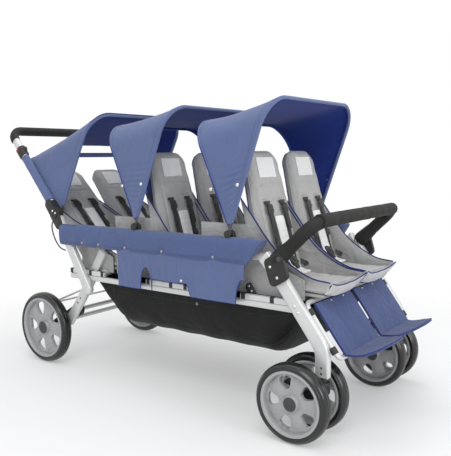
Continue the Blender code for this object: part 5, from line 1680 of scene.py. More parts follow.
@dataclass
class Seats:
    """The six seats: backs, pans, wings, harnesses and their trim."""

    back: SeatBack = field(default_factory=SeatBack)
    wing_top: tuple[Point, ...] = (
        (-0.262, 0.728), (-0.214, 0.668), (-0.160, 0.600), (-0.100, 0.540), (-0.010, 0.490),
        (0.066, 0.478),
    )
    wing_low: tuple[Point, ...] = ((-0.196, 0.446), (-0.110, 0.447), (-0.020, 0.447), (0.060, 0.452))
    outer_y: float = 0.243
    inner_y: float = 0.0085
    strap_y: float = 0.046
    patch_half: Point = (0.050, 0.035)
    patch_z: float = 0.379
    bend_start: Point = (-0.105, 0.455)
    bend_end: Point = (-0.190, 0.560)
    cloth_y: float = 0.2478
    cloth_foot: float = 0.4135

    def build(self) -> None:
        """Models a seat's parts once and sets them in all six places."""
        back = self.back.model()
        pan = self.pan_model()
        trims = self.trim_models(back)
        for row in Row:
            for side in Side:
                name = f"{row.word}_{side.word}"
                place = self.back.place(row, side)
                body = node = f"seat_back_{name}"
                cushion = copied(back, place)
                made = piece(cushion, f"back_cushion_{name}", (GREY, GREY_SIDE), body, [node], smooth=60)
                for part, (model, finish, crosses) in trims.items():
                    shape = piece(copied(model, place), f"{part}_{name}", finish, "" if crosses else body)
                    if crosses:
                        self.cross(shape, row, body)
                self.lugs(row, side, body)
                self.pan(pan, row, side, name)
                self.wings(row, side, name, body)
                self.curtain(row, side)
            self.board(row)
            LOG.info("row %s: two seats with backs, pans, wings and harnesses", row.word)
        for model in (back, pan, *(m for m, _, _ in trims.values())):
            drop(model)

    def curtain(self, row: Row, side: Side) -> None:
        """The grey side cloth between the seats and a cover, up to a level edge behind the back."""
        rear, front = -0.205 if row is Row.REAR else -0.430, -0.020
        level = 0.585 if row is Row.REAR else 0.640
        top = [
            (rear, level), (-0.235, level), (-0.200, 0.590), (-0.150, 0.545), (-0.090, 0.503), (front, 0.477)
        ]

        def place(u: float, v: float) -> Vector:
            x = rear + (front - rear) * u
            near, far = next(pair for pair in zip(top, top[1:]) if x <= pair[1][0] + 1e-9)
            share = (x - near[0]) / (far[0] - near[0]) if far[0] > near[0] else 1.0
            high = near[1] + (far[1] - near[1]) * min(1.0, max(0.0, share))
            z = self.cloth_foot + (high - self.cloth_foot) * v
            y = self.cloth_y + 0.0022 * wave(x, 0, z, 17, 2.0 * side.value + row.value)
            y += 0.0008 * wave(x, 0, z, 60, 3.0)
            return at(x + row.shift, side.value * y, z)

        body = Frame.body_of[f"seat_pan_{row.word}"]
        name = f"{row.word}_{side.word}"
        made = piece(cloth_sheet(64, 24, place, 0.0018), f"side_cloth_{name}", GREY, body, smooth=60)
        for word, v, finish in (("top", 1.0, GREY_SIDE), ("foot", 0.0, PIPING)):
            edge = [place(i / 64, v) for i in range(65)]
            piece(tube(edge, 0.0017, steps=8), f"side_cloth_piping_{word}_{name}", finish, body)

    def cross(self, shape: bpy.types.Object, row: Row, body: str) -> None:
        """Bakes a piece's place into its mesh; it is not attached to any body."""
        start, end = (at(row.shift + x, 0, z) for x, z in (self.bend_start, self.bend_end))
        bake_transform(shape)

    def laid(self, point: Point, row: Row) -> Point:
        """A side-view point of the front row's wings, moved to a row and laid back with its recline."""
        x, z = point
        if row is Row.REAR:
            (start_x, start_z), (end_x, end_z) = self.bend_start, self.bend_end
            run_x, run_z = end_x - start_x, end_z - start_z
            share = ease_in(((x - start_x) * run_x + (z - start_z) * run_z) / (run_x**2 + run_z**2))
            turn = -PLAN.rear_recline * share
            dx, dz = x - PLAN.recline[0], z - PLAN.recline[1]
            x = PLAN.recline[0] + dx * math.cos(turn) + dz * math.sin(turn)
            z = PLAN.recline[1] - dx * math.sin(turn) + dz * math.cos(turn)
        return (x + row.shift, z)

    def trim_models(self, back: bpy.types.Object) -> dict[str, tuple[bpy.types.Object, Finish, bool]]:
        """What is sewn or laid on a back: patch, straps, adjusters, pad, buckle and piping."""
        made = {}
        edge = self.settled([Vector((-0.0105, y, z)) for y, z in self.back.outline(0.0015)], back, 0.0004)
        rear = self.settled([Vector((-0.0345, y, z)) for y, z in self.back.outline(0.0005)], back, 0.0008)
        made["back_welt"] = (tube(edge, 0.0017, steps=8), GREY_SIDE, False)
        made["back_piping"] = (tube(rear, 0.0022, steps=8), PIPING, False)
        made["back_patch"] = (self.patch(back), PALE, False)
        straps, ladders, loops = [], [], []
        for y in (-self.strap_y, self.strap_y):
            inner = math.copysign(0.030, y)
            strap = [
                (0.004, y, 0.258), (0.0125, y, 0.250), (0.0145, y * 0.98, 0.200),
                (0.0150, y * 0.95, 0.140), (0.0165, y * 0.85, 0.080), (0.026, inner, 0.030),
                (0.050, inner * 0.8, 0.008),
            ]
            straps.append(self.back.ribbon(strap, 0.0115, 0.0018))
            tail = [(0.0170, y, 0.226), (0.0185, y * 1.02, 0.190), (0.0190, y * 1.08, 0.158)]
            straps.append(self.back.ribbon(tail, 0.0110, 0.0016, 12))
            ladders.append(self.ladder(Vector((0.0165, y, 0.230))))
            ladders.append(self.ladder(Vector((0.0185, y * 0.96, 0.118)), 0.8))
            loops.append(self.slot(Vector((0.0092, y, 0.2585))))
        made["shoulder_straps"] = (joined(*straps), STRAP, True)
        made["strap_adjusters"] = (joined(*ladders), PLASTIC, False)
        made["strap_slots"] = (joined(*loops), PLASTIC, False)
        made["centre_pad"] = (self.centre_pad(), PALE, True)
        made["buckle"] = (self.buckle(), PLASTIC, True)
        made["waist_straps"] = (self.waist(), STRAP, True)
        return made

    def settled(self, line: list[Vector], back: bpy.types.Object, lift: float) -> list[Vector]:
        """A line moved onto the cushion's surface."""
        moved = []
        for point in spline(line, 160):
            _, place, normal, _ = back.closest_point_on_mesh(point)
            moved.append(place + normal * lift)
        return moved

    def patch(self, back: bpy.types.Object) -> bpy.types.Object:
        """A plain pale patch sewn over the headrest, with a turned edge."""
        wide, high = self.patch_half
        low = self.patch_z - high
        sheet = grid(20, 14, lambda u, v: Vector((0.02, 2 * wide * u - wide, low + 2 * high * v)))
        sheet = modify(
            sheet,
            "SHRINKWRAP",
            target=back,
            wrap_method="NEAREST_SURFACEPOINT",
            wrap_mode="ABOVE_SURFACE",
            offset=0.0012,
        )
        for vertex in sheet.data.vertices:
            edge = max(abs(vertex.co.y) / wide, abs(vertex.co.z - self.patch_z) / high)
            vertex.co.x += 0.0007 * ease_in((edge - 0.86) / 0.08) * ease_in((1.04 - edge) / 0.06)
        return outwards(modify(sheet, "SOLIDIFY", thickness=0.0010, offset=0.0), 1e-6)

    def ladder(self, place: Vector, scale: float = 1.0) -> bpy.types.Object:
        """A ladder-lock adjuster: a rounded frame with a bar and a thumb tab."""
        half = 0.0165
        frame = plate(box_outline(-half, -0.012, half, 0.012), STANDING, 0.0045, 0.0016)
        thumb = [(-0.014, 0.010), (0.014, 0.010), (0.011, 0.020), (-0.011, 0.020)]
        tab = plate(thumb, Matrix.Translation((0.0022, 0, 0)) @ STANDING, 0.0026, 0.0010)
        before = Matrix.Translation((0.0020, 0, 0)) @ STANDING
        bar = plate(box_outline(-half, -0.003, half, 0.003), before, 0.0044, 0.0012)
        whole = joined(frame, tab, bar)
        whole.data.transform(Matrix.Translation(place) @ Matrix.Scale(scale, 4))
        return outwards(whole)

    def slot(self, place: Vector) -> bpy.types.Object:
        """The stitched slot that a strap comes out of."""
        half, radius = 0.0135, 0.0042
        outline = capsule((-half, 0), radius, (half, 0), radius, 6)
        return outwards(plate(outline, Matrix.Translation(place) @ STANDING, 0.0026, 0.0008))

    def centre_pad(self) -> bpy.types.Object:
        """The pale quilted pad between the straps, from the back down to the pan."""
        stops = [
            (0.0135, 0.208), (0.0165, 0.160), (0.0190, 0.110), (0.0250, 0.060), (0.045, 0.020),
            (0.078, 0.0045),
        ]
        path = spline([(x, 0, z) for x, z in stops], 60)
        rings = []
        for i, point in enumerate(path):
            share = i / (len(path) - 1)
            normal = Vector((0, 1, 0)).cross(heading(path, i)).normalized()
            if normal.x < 0:
                normal = -normal
            ends = min(1.0, share / 0.025, (1 - share) / 0.02) ** 0.5 if 0 < share < 1 else 0.15
            quilt = 1 - 0.60 * groove((share * 10.2) % 1.0 - 0.5, 0.11)
            half, thick = 0.0255 * (0.80 + 0.20 * ends), 0.0062 * quilt * (0.4 + 0.6 * ends)
            section = capsule((-half + thick / 2, 0), thick / 2, (half - thick / 2, 0), thick / 2, 6)
            crown = [b * (1.0 + 0.25 * (1 - (a / half) ** 2)) for a, b in section]
            rings.append([point + Vector((0, a, 0)) + normal * b for (a, _), b in zip(section, crown)])
        return skin(rings)

    def buckle(self) -> bpy.types.Object:
        """The black buckle over the pad's foot, with its two side prongs."""
        turn = Matrix.Translation((0.0325, 0, 0.052)) @ Matrix.Rotation(math.radians(58), 4, "Y")
        outline = [
            (-0.020, -0.018), (0.020, -0.018), (0.021, 0.004), (0.013, 0.019), (-0.013, 0.019),
            (-0.021, 0.004),
        ]
        body = plate(outline, turn, 0.011, 0.0028)
        button = plate(ring_of(0.0085, 16), turn @ Matrix.Translation((0, 0, 0.006)), 0.004, 0.001)
        prong = [(0.012, -0.014), (0.034, -0.012), (0.034, 0.004), (0.014, 0.012)]
        prongs = [plate([(s * x, y) for x, y in prong[::s]], turn, 0.007, 0.0018) for s in (1, -1)]
        return outwards(joined(body, button, *prongs))

    def waist(self) -> bpy.types.Object:
        """The two short lap straps that run from the buckle to the seat's sides."""
        stops = [(0.040, 0.034, 0.044), (0.040, 0.062, 0.030), (0.024, 0.088, 0.022), (0.008, 0.101, 0.020)]
        sides = [self.back.ribbon([(x, s * y, z) for x, y, z in stops], 0.0105, 0.0017, 16) for s in (1, -1)]
        return joined(*sides)

    def lugs(self, row: Row, side: Side, body: str) -> None:
        """The black arms that hold a back on its recline tube."""
        turn = recline_place(row, side) @ Matrix.Rotation(math.pi / 2, 4, "X")
        outline = capsule((0, 0), 0.0128, (0.038, 0.028), 0.0095, 10)
        places = [turn @ Matrix.Translation((0, 0, y)) for y in (-0.022, 0.0, 0.022)]
        arms = [plate(outline, place, 0.0042, 0.001) for place in places]
        piece(joined(*arms), f"recline_arms_{row.word}_{side.word}", PLASTIC, body)

    def pan_model(self) -> bpy.types.Object:
        """One pan cushion at the front row, swollen by simulation, its front edge drawn down."""
        low, high = Vector((-0.146, 0.0165, 0.4375)), Vector((0.052, 0.2345, 0.4555))
        middle, half = (low + high) / 2, (high - low) / 2
        outline = box_outline(-half.x, -half.y, half.x, half.y)
        shape = plate(outline, Matrix.Translation(at(*middle)), 2 * half.z, 0.006, 2)
        shape = inflate(shape, 0.006)
        fitted(shape, at(-0.147, 0.0100, 0.4370), at(0.058, 0.2405, 0.4610))
        for vertex in shape.data.vertices:
            x, y, z = vertex.co.x - Frame.axle_x, vertex.co.y, vertex.co.z
            line = max(groove(x + 0.045, 0.0035), groove(abs(y - 0.1255) - 0.058, 0.0035) * (x < -0.045))
            if z > middle.z:
                z += 0.0013 * wave(x, y, 0, 26, 4.0) - 0.0030 * line + 0.0040 * ease_in((x - 0.010) / 0.04)
            vertex.co.z = max(0.4372, z)
        return shape

    def pan(self, model: bpy.types.Object, row: Row, side: Side, name: str) -> None:
        """One pan cushion with its front hem and piping; cushion and hem are a lighter copy of the grey seat
        cloth, which is painted light.
        """
        shift = Matrix.Translation((row.shift, 0, 0))
        if side is Side.RIGHT:
            shift = shift @ Matrix.Scale(-1, 4, Vector((0, 1, 0)))
        body = Frame.body_of[f"seat_pan_{row.word}"]
        # painted light: the cushion, and the hem below, take the lighter copy of the grey seat cloth
        made = piece(copied(model, shift), f"pan_cushion_{name}", GREY_PAN_PAINTED_LIGHT, body, smooth=60)

        def hem(u: float, v: float) -> Vector:
            y = side.value * (self.inner_y + (self.outer_y - self.inner_y) * u)
            edge = abs(2 * u - 1) ** 3
            x = 0.066 + 0.004 * math.sin(math.pi * u) - 0.020 * v**1.5 + 0.010 * edge * (1 - v)
            z = 0.462 + 0.015 * edge - 0.036 * v + 0.0012 * wave(y, v, row.value, 30)
            return at(row.shift + x, y, z)

        def lip(u: float, v: float) -> Vector:
            y = side.value * (self.inner_y + (self.outer_y - self.inner_y) * u)
            point = at(row.shift + 0.040, y, 0.4600).lerp(hem(u, 0.0), v)
            point.z += 0.003 * math.sin(math.pi * v) * (1 - abs(2 * u - 1))
            return point

        piece(cloth_sheet(30, 8, hem, 0.0022), f"pan_hem_{name}", GREY_PAN_PAINTED_LIGHT, body, smooth=60)
        piece(cloth_sheet(30, 6, lip, 0.0022), f"pan_lip_{name}", GREY, body, smooth=60)
        for word, v, out in (("upper", 0.0, 0.0005), ("lower", 1.0, 0.0)):
            path = [hem(i / 30, v) + Vector((out, 0, 0)) for i in range(31)]
            piece(tube(path, 0.0021, steps=10), f"pan_piping_{word}_{name}", PIPING, body)

    def board(self, row: Row) -> None:
        """The stiff board under a row's cushions, cloth covered."""
        outline = box_outline(row.shift - 0.147, -0.240, row.shift + 0.040, 0.240)
        shape = plate(outline, Matrix.Translation(at(0, 0, 0.4318)), 0.0100, 0.003)
        node = f"seat_pan_{row.word}"
        piece(shape, f"pan_board_{row.word}", GREY_SIDE, Frame.body_of[node], [node])

    def wings(self, row: Row, side: Side, name: str, body: str) -> None:
        """The two sling wings of a seat, from its back down to the front corner, with navy piping."""
        for word, y, flare in (("inner", self.inner_y, 0.001), ("outer", self.outer_y, 0.006)):
            top = [Vector((*self.laid(p, row), 0)) for p in spline(self.wing_top, 41)]
            low = [Vector((*self.laid(p, row), 0)) for p in spline(self.wing_low, 41)]

            def place(u: float, v: float) -> Vector:
                i = round(u * 40)
                point = low[i].lerp(top[i], v)
                middle = math.sin(math.pi * v)
                out = flare * v * (1 - u) + 0.0016 * wave(u * 0.3, v * 0.2, row.value * 3 + y, 22) * middle
                belly = -0.010 * middle * math.sin(math.pi * u) * (1 if word == "outer" else 0.25)
                return at(point.x, side.value * (y + out + belly), point.y)

            sheet = cloth_sheet(40, 10, place, 0.0020)
            self.cross(piece(sheet, f"wing_{word}_{name}", GREY, "", smooth=60), row, body)
            edge = [place(i / 40, 1.0) for i in range(41)]
            piping = tube(edge, 0.0024, steps=10)
            self.cross(piece(piping, f"wing_piping_{word}_{name}", PIPING, ""), row, body)


# Padded side covers


@dataclass
class Covers:
    """The padded covers over the upper rails, their skirts, bindings, snaps and seams."""

    back: float = -1.120
    pad_back: float = -1.018
    front: float = -0.135
    top: float = 0.602
    low: float = 0.518
    inner_y: float = 0.2665
    outer_y: float = 0.3165
    snaps: tuple[float, ...] = (-0.985, -0.890, -0.745, -0.560, -0.330)
    shelf: float = 0.5582
    wall: float = 0.0098
    snap_z: float = 0.5335
    hem: float = 0.386
    arch_rise: float = 0.082
    arches: tuple[float, float] = (-0.212, -0.642)
    skirt_top: float = 0.528
    skirt_y: float = 0.3110
    skirt_range: tuple[float, float] = (0.3088, 0.3180)

    def build(self) -> None:
        """Makes both sides."""
        for side in Side:
            self.pad(side)
            self.skirt(side)
            self.trim(side)
            LOG.info("cover %s", side.word)

    def nose(self, x: float, z: float) -> float:
        """How far the slanting front end steps back at a height."""
        share = max(0.0, 1 - (self.front - x) / 0.120)
        return share * 0.714 * (self.top - z)

    def ring(self, x: float, padded: bool, side: Side) -> list[Vector]:
        """The section of a cover at a place along it."""
        wall = self.outer_y - self.wall
        inner = self.inner_y if padded else wall
        bottom, shelf = self.low, self.shelf
        outer, top = self.outer_y, self.top
        raw = [
            (wall + 0.0006, bottom + 0.002), (wall + 0.004, bottom - 0.0005), (outer - 0.003, bottom + 0.0015)
        ]
        raw += [
            (outer - 0.0008, bottom + (top - bottom) * t) for t in (0.10, 0.22, 0.34, 0.46, 0.58, 0.70, 0.80)
        ]
        raw += [(outer - 0.004, top - 0.007), (outer - 0.010, top - 0.0012)]
        raw += [(outer + (inner - outer) * t, top) for t in (0.40, 0.60)]
        raw += [(inner + (0.012 if padded else 0.003), top - 0.0012)]
        raw += [(inner + (0.004 if padded else 0.001), top - 0.007)]
        raw += [(inner, top - 0.020), (inner, shelf + 0.008 if padded else shelf)]
        raw += [(inner + (0.003 if padded else 0.0002), shelf + 0.0006)]
        raw += [
            (wall - (0.004 if padded else 0), shelf + 0.0004),
            (wall, shelf - 0.006),
            (wall, (shelf + bottom) / 2),
        ]
        points = []
        for y, z in raw:
            near = min(abs(x - s) for s in self.snaps)
            crease = math.exp(-((near / 0.020) ** 2))
            outside = ease_in((y - wall) / 0.006)
            roll = math.sin(math.pi * min(1.0, max(0.0, (z - bottom) / (top - bottom)))) ** 0.7
            swell = 0.0042 * roll - 0.0050 * crease * math.exp(-(((z - 0.533) / 0.022) ** 2))
            rough = 0.0026 * wave(x, 0, z * 2.5, 11, side.value * 2.0)
            swell += rough + 0.0012 * wave(x, 0, z * 3.0, 27, 5.0)
            lift = 0.0022 * wave(x, y * 0.6, 0, 12, 8.0) if z > top - 0.009 else 0.0
            fold = 0.0030 * crease * ease_in((0.545 - z) / 0.02)
            points.append(at(x - self.nose(x, z), side.value * (y + outside * swell), z + lift + fold))
        return points

    def pad(self, side: Side) -> None:
        """The padded cover, gathered a little at each snap."""
        thin, padded = 10, 150
        run = self.pad_back - self.back - 0.003
        rings = [self.ring(self.back + run * i / thin, False, side) for i in range(thin + 1)]
        run = self.front - self.pad_back
        rings += [self.ring(self.pad_back + run * i / padded, True, side) for i in range(padded + 1)]
        rings = [self.pinched(rings[0], 0.7), *rings, self.pinched(rings[-1], 0.75)]
        shape = modify(skin(rings), "SUBSURF", levels=1, render_levels=1)
        name, node = f"side_cover_{side.word}", f"side_bolster_{side.word}"
        made = piece(shape, name, BLUE_PAD, "upper_frame", [node], smooth=60)

    def pinched(self, ring: Sequence[Vector], keep: float) -> list[Vector]:
        """A ring drawn in about its middle."""
        middle = sum(ring, Vector()) / len(ring)
        return [middle + (p - middle) * keep for p in ring]

    def hem_at(self, x: float) -> float:
        """The height of the skirt's lower edge."""
        for arch in self.arches:
            share = abs(x - arch) / 0.028
            if share < 1:
                return self.hem + self.arch_rise * math.sqrt(1 - share * share)
        if -0.614 < x < -0.449:
            return 0.430 - 0.003 * math.sin(math.pi * (x + 0.614) / 0.165)
        if -0.449 <= x < -0.432:
            return 0.430 - 0.044 * (x + 0.449) / 0.017
        if x >= self.arches[0]:
            return self.hem + self.arch_rise
        return self.hem

    def skirt(self, side: Side) -> None:
        """The cloth that hangs under a cover, with soft pleats from its top seam."""
        stops = [-0.785, -0.670, -0.6699, -0.6140, -0.6139, -0.449, -0.432, -0.240, -0.2399, -0.205]
        columns = []
        for near, far in zip(stops, stops[1:]):
            steps = max(1, round((far - near) / 0.0035))
            columns += [near + (far - near) * i / steps for i in range(steps)]
        columns.append(stops[-1])
        top = self.skirt_top
        inner, outer = self.skirt_range

        def place(u: float, v: float) -> Vector:
            x = columns[round(u * (len(columns) - 1))]
            low = self.hem_at(x)
            z = top + (low - top) * v
            pleat = 0.0026 * wave(x, 0, z * 0.25, 38, 2.0 + side.value)
            pleat += 0.0012 * wave(x, 0, z, 90, 6.0)
            fan = 0.0016 * math.sin((x + 0.6) * 150 + 2 * z) * (1 if -0.60 < x < -0.47 else 0.35) * (1 - v)
            y = self.skirt_y + (pleat + fan) * ease_in(v * 4) + 0.0025 * math.sin(math.pi * v)
            return at(x, side.value * min(outer, max(inner, y)), z)

        sheet = cloth_sheet(len(columns) - 1, 16, place, 0.0018)
        made = piece(sheet, f"skirt_{side.word}", BLUE, "upper_frame", smooth=60)
        edge = [place(i / (len(columns) - 1), 1.0) for i in range(len(columns))]
        kept = [edge[0]]
        for point in edge[1:]:
            if (point - kept[-1]).length > 0.0022:
                kept.append(point)
        piece(tube(kept, 0.0016, steps=8), f"skirt_binding_{side.word}", PIPING, "upper_frame")

    def trim(self, side: Side) -> None:
        """The snaps, and the stitched hem line along a cover's foot."""
        out = Vector((0, side.value, 0))
        places = facing(side, self.outer_y - 0.0012, [(x, self.snap_z) for x in self.snaps])
        Rivet(0.0056, 0.0026).put(f"cover_snaps_{side.word}", places, GUNMETAL, "upper_frame")
        low = facing(side, 0.3158, [(-0.470, 0.4385)])
        Rivet(0.0055, 0.0024).put(f"skirt_snap_{side.word}", low, STEEL, "upper_frame")
        count = 240
        line = []
        for i in range(count + 1):
            x = self.back + 0.012 + (self.front - self.back - 0.05) * i / count
            ring = self.ring(x, x > self.pad_back, side)
            line.append(ring[3].lerp(ring[4], 0.4) + out * 0.0004)
        piece(tube(line, 0.0009, steps=6), f"cover_seam_{side.word}", THREAD, "upper_frame")


# Canopies


@dataclass(frozen=True)
class Bow:
    """The U of a bow in its leaning plane: straight sides, round corners and a level top."""

    point: Point
    lean: float
    half: float
    length: float
    start: float = 0.030
    corner: float = 0.100

    @property
    def plane(self) -> Matrix:
        """Where the bow's plane stands."""
        return lean_plane(self.point, self.lean)

    def wider(self, by: float) -> "Bow":
        """The same bow, grown outwards."""
        return replace(self, half=self.half + by, length=self.length + by)

    def spot(self, share: float) -> Point:
        """The (across, up) point at a share of the way round: side, corner, top, corner, side."""
        side_share, corner_share = 0.30, 0.12
        turn = min(self.corner, self.length - self.start - 0.002)
        mirrored = -1.0 if share <= 0.5 else 1.0
        part = share if share <= 0.5 else 1 - share
        if part <= side_share:
            return (mirrored * self.half, self.start + (self.length - turn - self.start) * part / side_share)
        if part <= side_share + corner_share:
            angle = (part - side_share) / corner_share * math.pi / 2
            across = self.half - turn + turn * math.cos(angle)
            return (mirrored * across, self.length - turn + turn * math.sin(angle))
        top_share = 0.5 - side_share - corner_share
        return (mirrored * (self.half - turn) * (0.5 - part) / top_share, self.length)

    def place(self, share: float) -> Vector:
        """The bow's point in space."""
        return self.plane @ Vector((*self.spot(share), 0))

    def hem(self) -> list[Vector]:
        """The middle of the hem sewn round this bow, a little short of its ends."""
        return [self.place(0.008 + 0.984 * i / 140) for i in range(141)]

    def rod(self, radius: float) -> bpy.types.Object:
        """The rod bent to this bow, from its pivot round to its other pivot."""
        whole, count = replace(self, start=0.0), 96
        return tube([whole.place(i / count) for i in range(count + 1)], radius, steps=12)


CANOPY_CLOTH = 0.0016
HEM_LIFT = 0.0007


def outward(point: Vector, height: float) -> Vector:
    """The way that a canopy's cloth faces: sideways low down and up on its roof."""
    side = 1 - ease_in((height - 0.55) / 0.3)
    return Vector((0, math.copysign(1, point.y), 0)) * side + Vector((0, 0, 1)) * (1 - side)


@dataclass
class Canopies:
    """The front and middle canopies, their bows, knobs, snaps and trim."""

    pivot_x: float = -0.275
    pivot_z: float = 0.6155
    front_leans: tuple[float, float] = (math.radians(20), math.radians(22))
    rear_lean: float = math.radians(-23.4)
    front_half: float = 0.297
    front_length: float = 0.4595
    rear_half: float = 0.285
    rear_length: float = 0.403
    rod: float = 0.004
    outside: float = 0.0052
    sag: float = 0.009
    hem_line: float = 0.925
    seam: float = 0.0006
    binding: float = 0.0018
    eye_y: float = 0.2972
    knob_y: float = 0.3045
    cover_z: float = 0.6022
    cut_from: Point = (1.32, 0.36)
    snaps: tuple[tuple[Point, ...], ...] = (
        ((-0.354, 0.756), (-0.238, 0.7726)),
        ((-0.774, 0.760), (-0.666, 0.769)),
    )

    def build(self) -> None:
        """Makes both canopies."""
        for row in (Row.FRONT, Row.MIDDLE):
            self.bows(row)
            self.cloth(row)
            LOG.info("canopy %s", row.word)

    def bow_pair(self, row: Row) -> tuple[Bow, Bow]:
        """The front and the rear bow of a canopy."""
        point = (self.pivot_x + row.shift, self.pivot_z)
        front = Bow(point, self.front_leans[row.value], self.front_half, self.front_length)
        return front, Bow(point, self.rear_lean, self.rear_half, self.rear_length)

    def bows(self, row: Row) -> None:
        """Both rods, the clamps on the cover's top and the pivot knobs."""
        front, rear = self.bow_pair(row)
        word = row.word
        body = Frame.body_of[f"canopy_front_bow_{word}"]
        piece(front.rod(self.rod), f"front_bow_{word}", DARK_ROD, body, [f"canopy_front_bow_{word}"])
        piece(rear.rod(self.rod), f"rear_bow_{word}", DARK_ROD, "upper_frame", [f"canopy_rear_bow_{word}"])
        x, z = front.point
        for side in Side:
            s = side.value
            hub = spun(
                [
                    (0.0, -0.0045), (0.0094, -0.0045), (0.0108, -0.0030), (0.0108, 0.0030),
                    (0.0094, 0.0046), (0.0, 0.0046),
                ],
                along(Vector((0, s, 0)), at(x, s * self.eye_y, z)),
            )
            piece(hub, f"bow_eye_{word}_{side.word}", PLASTIC, body)
            knob = spun(
                [
                    (0.0, 0.0), (0.0125, 0.0), (0.0132, 0.0016), (0.0126, 0.0036), (0.0085, 0.0052),
                    (0.0, 0.0056),
                ],
                along(Vector((0, s, 0)), at(x, s * self.knob_y, z - 0.004)),
            )
            piece(knob, f"canopy_knob_{word}_{side.word}", PLASTIC, "upper_frame")
            outline = [(x - 0.017, self.cover_z), (x + 0.017, self.cover_z), (x + 0.013, z + 0.004)]
            outline += [(x, z + 0.0105), (x - 0.013, z + 0.004)]
            clamp = plate(outline, side_plane(s * self.rear_half), 0.0135, 0.0025)
            piece(clamp, f"canopy_clamp_{word}_{side.word}", PLASTIC, "upper_frame")

    def blend(self, obj: bpy.types.Object, row: Row) -> bpy.types.Object:
        """Bakes the cloth's place into its mesh; it is not attached to any body."""
        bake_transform(obj)
        return obj

    def surface(self, row: Row, u: float, v: float, lift: float = 0.0) -> Vector:
        """A point of a canopy, from the rear bow (v 0) to its front hem (v 1)."""
        front, rear = self.bow_pair(row)
        front, rear = front.wider(self.outside), rear.wider(self.outside)
        point = rear.place(u).lerp(front.place(u), v)
        height = (front.spot(u)[1] / front.length) ** 1.5
        point.z -= self.sag * 4 * v * (1 - v) * height
        out = outward(point, height)
        tension = 0.0016 * wave(u * 9, v * 0.6, row.value, 1.4, 3.0) * math.sin(math.pi * v)
        rise = math.sin(math.pi * v)
        fold = 0.0030 * rise * wave(point.x * 0.5, point.y * 0.6, point.z, 11, row.value + 5.0)
        tucks = creases(u, v, 3.0 + row.value) * rise
        return point + out * (tension + fold + tucks + lift)

    def cloth(self, row: Row) -> None:
        """The shaped cloth with its lining, hems and snaps."""
        word = row.word
        sheet = grid(
            340, 44, lambda u, v: self.surface(row, u, v, HEM_LIFT * ease_in((v - self.hem_line) / 0.01))
        )
        made = piece(
            lined(sheet, CANOPY_CLOTH), f"canopy_{word}", (BLUE, NAVY), "", [
                f"canopy_cloth_{word}"
            ], smooth=70
        )
        self.blend(made, row)
        for name, bow, finish in zip(("front", "rear"), self.bow_pair(row), (BLUE, NAVY)):
            hem = tube(bow.hem(), self.outside + HEM_LIFT)
            self.blend(piece(hem, f"canopy_hem_{name}_{word}", finish, "", smooth=70), row)
        for name, v in (("hem", self.hem_line), ("edge", 0.982), ("back", 0.050)):
            seam = [self.surface(row, i / 160, v, self.seam) for i in range(161)]
            self.blend(piece(tube(seam, self.seam, steps=6), f"canopy_seam_{name}_{word}", THREAD, ""), row)
        for end in (0.0, 1.0):
            edge = [self.surface(row, end, i / 40, 0.0002) for i in range(41)]
            name = f"canopy_side_binding_{word}_{'right' if end == 0 else 'left'}"
            self.blend(piece(tube(edge, self.binding, steps=8), name, PIPING, ""), row)
        for side in Side:
            places = [facing(side, self.side_y(row, *spot), [spot])[0] for spot in self.snaps[row.value]]
            self.studs(places, f"canopy_snaps_{word}_{side.word}", row)

    def side_y(self, row: Row, x: float, z: float) -> float:
        """How far out the side of a canopy is at a place of the side view."""
        best = min(
            (self.surface(row, i / 120, j / 20) for i in range(60) for j in range(21)),
            key=lambda p: (p.x - Frame.axle_x - x) ** 2 + (p.z - z) ** 2,
        )
        return abs(best.y)

    def studs(self, places: Sequence[tuple[Vector, Vector]], name: str, row: Row) -> None:
        """Snaps that go with the cloth."""
        profile = [
            (0.0, -0.0012), (0.0058, -0.0012), (0.0062, 0.0006), (0.0048, 0.0018), (0.0026, 0.0013),
            (0.0, 0.0013),
        ]
        shapes = [spun(profile, along(out, place), 24) for place, out in places]
        self.blend(piece(joined(*shapes), name, STEEL, ""), row)


def lined(sheet: bpy.types.Object, thick: float) -> bpy.types.Object:
    """Turns a sheet's faces outwards and gives it a lining in the second slot.

    Args:
        sheet: the sheet, as the outside sees it.
        thick: how thick it becomes.

    Returns:
        The sheet.
    """
    roof = max(sheet.data.polygons, key=lambda p: p.center.z)
    if roof.normal.z < 0:
        edit(sheet, lambda: bpy.ops.mesh.flip_normals())
    slotted(sheet, 1)
    slotted(sheet, 0)
    return modify(sheet, "SOLIDIFY", thickness=thick, offset=-1.0, material_offset=1, material_offset_rim=0)


def without(obj: bpy.types.Object, gone: Callable[[Vector], bool]) -> bpy.types.Object:
    """Deletes the faces whose middles pass a test."""
    bpy.ops.object.select_all(action="DESELECT")
    choose(obj)
    bpy.ops.object.mode_set(mode="EDIT")
    bpy.ops.mesh.select_mode(type="FACE")
    bpy.ops.mesh.select_all(action="DESELECT")
    bpy.ops.object.mode_set(mode="OBJECT")
    for polygon in obj.data.polygons:
        polygon.select = gone(polygon.center)
    bpy.ops.object.mode_set(mode="EDIT")
    bpy.ops.mesh.delete(type="FACE")
    bpy.ops.mesh.select_mode(type="VERT")
    bpy.ops.object.mode_set(mode="OBJECT")
    return obj


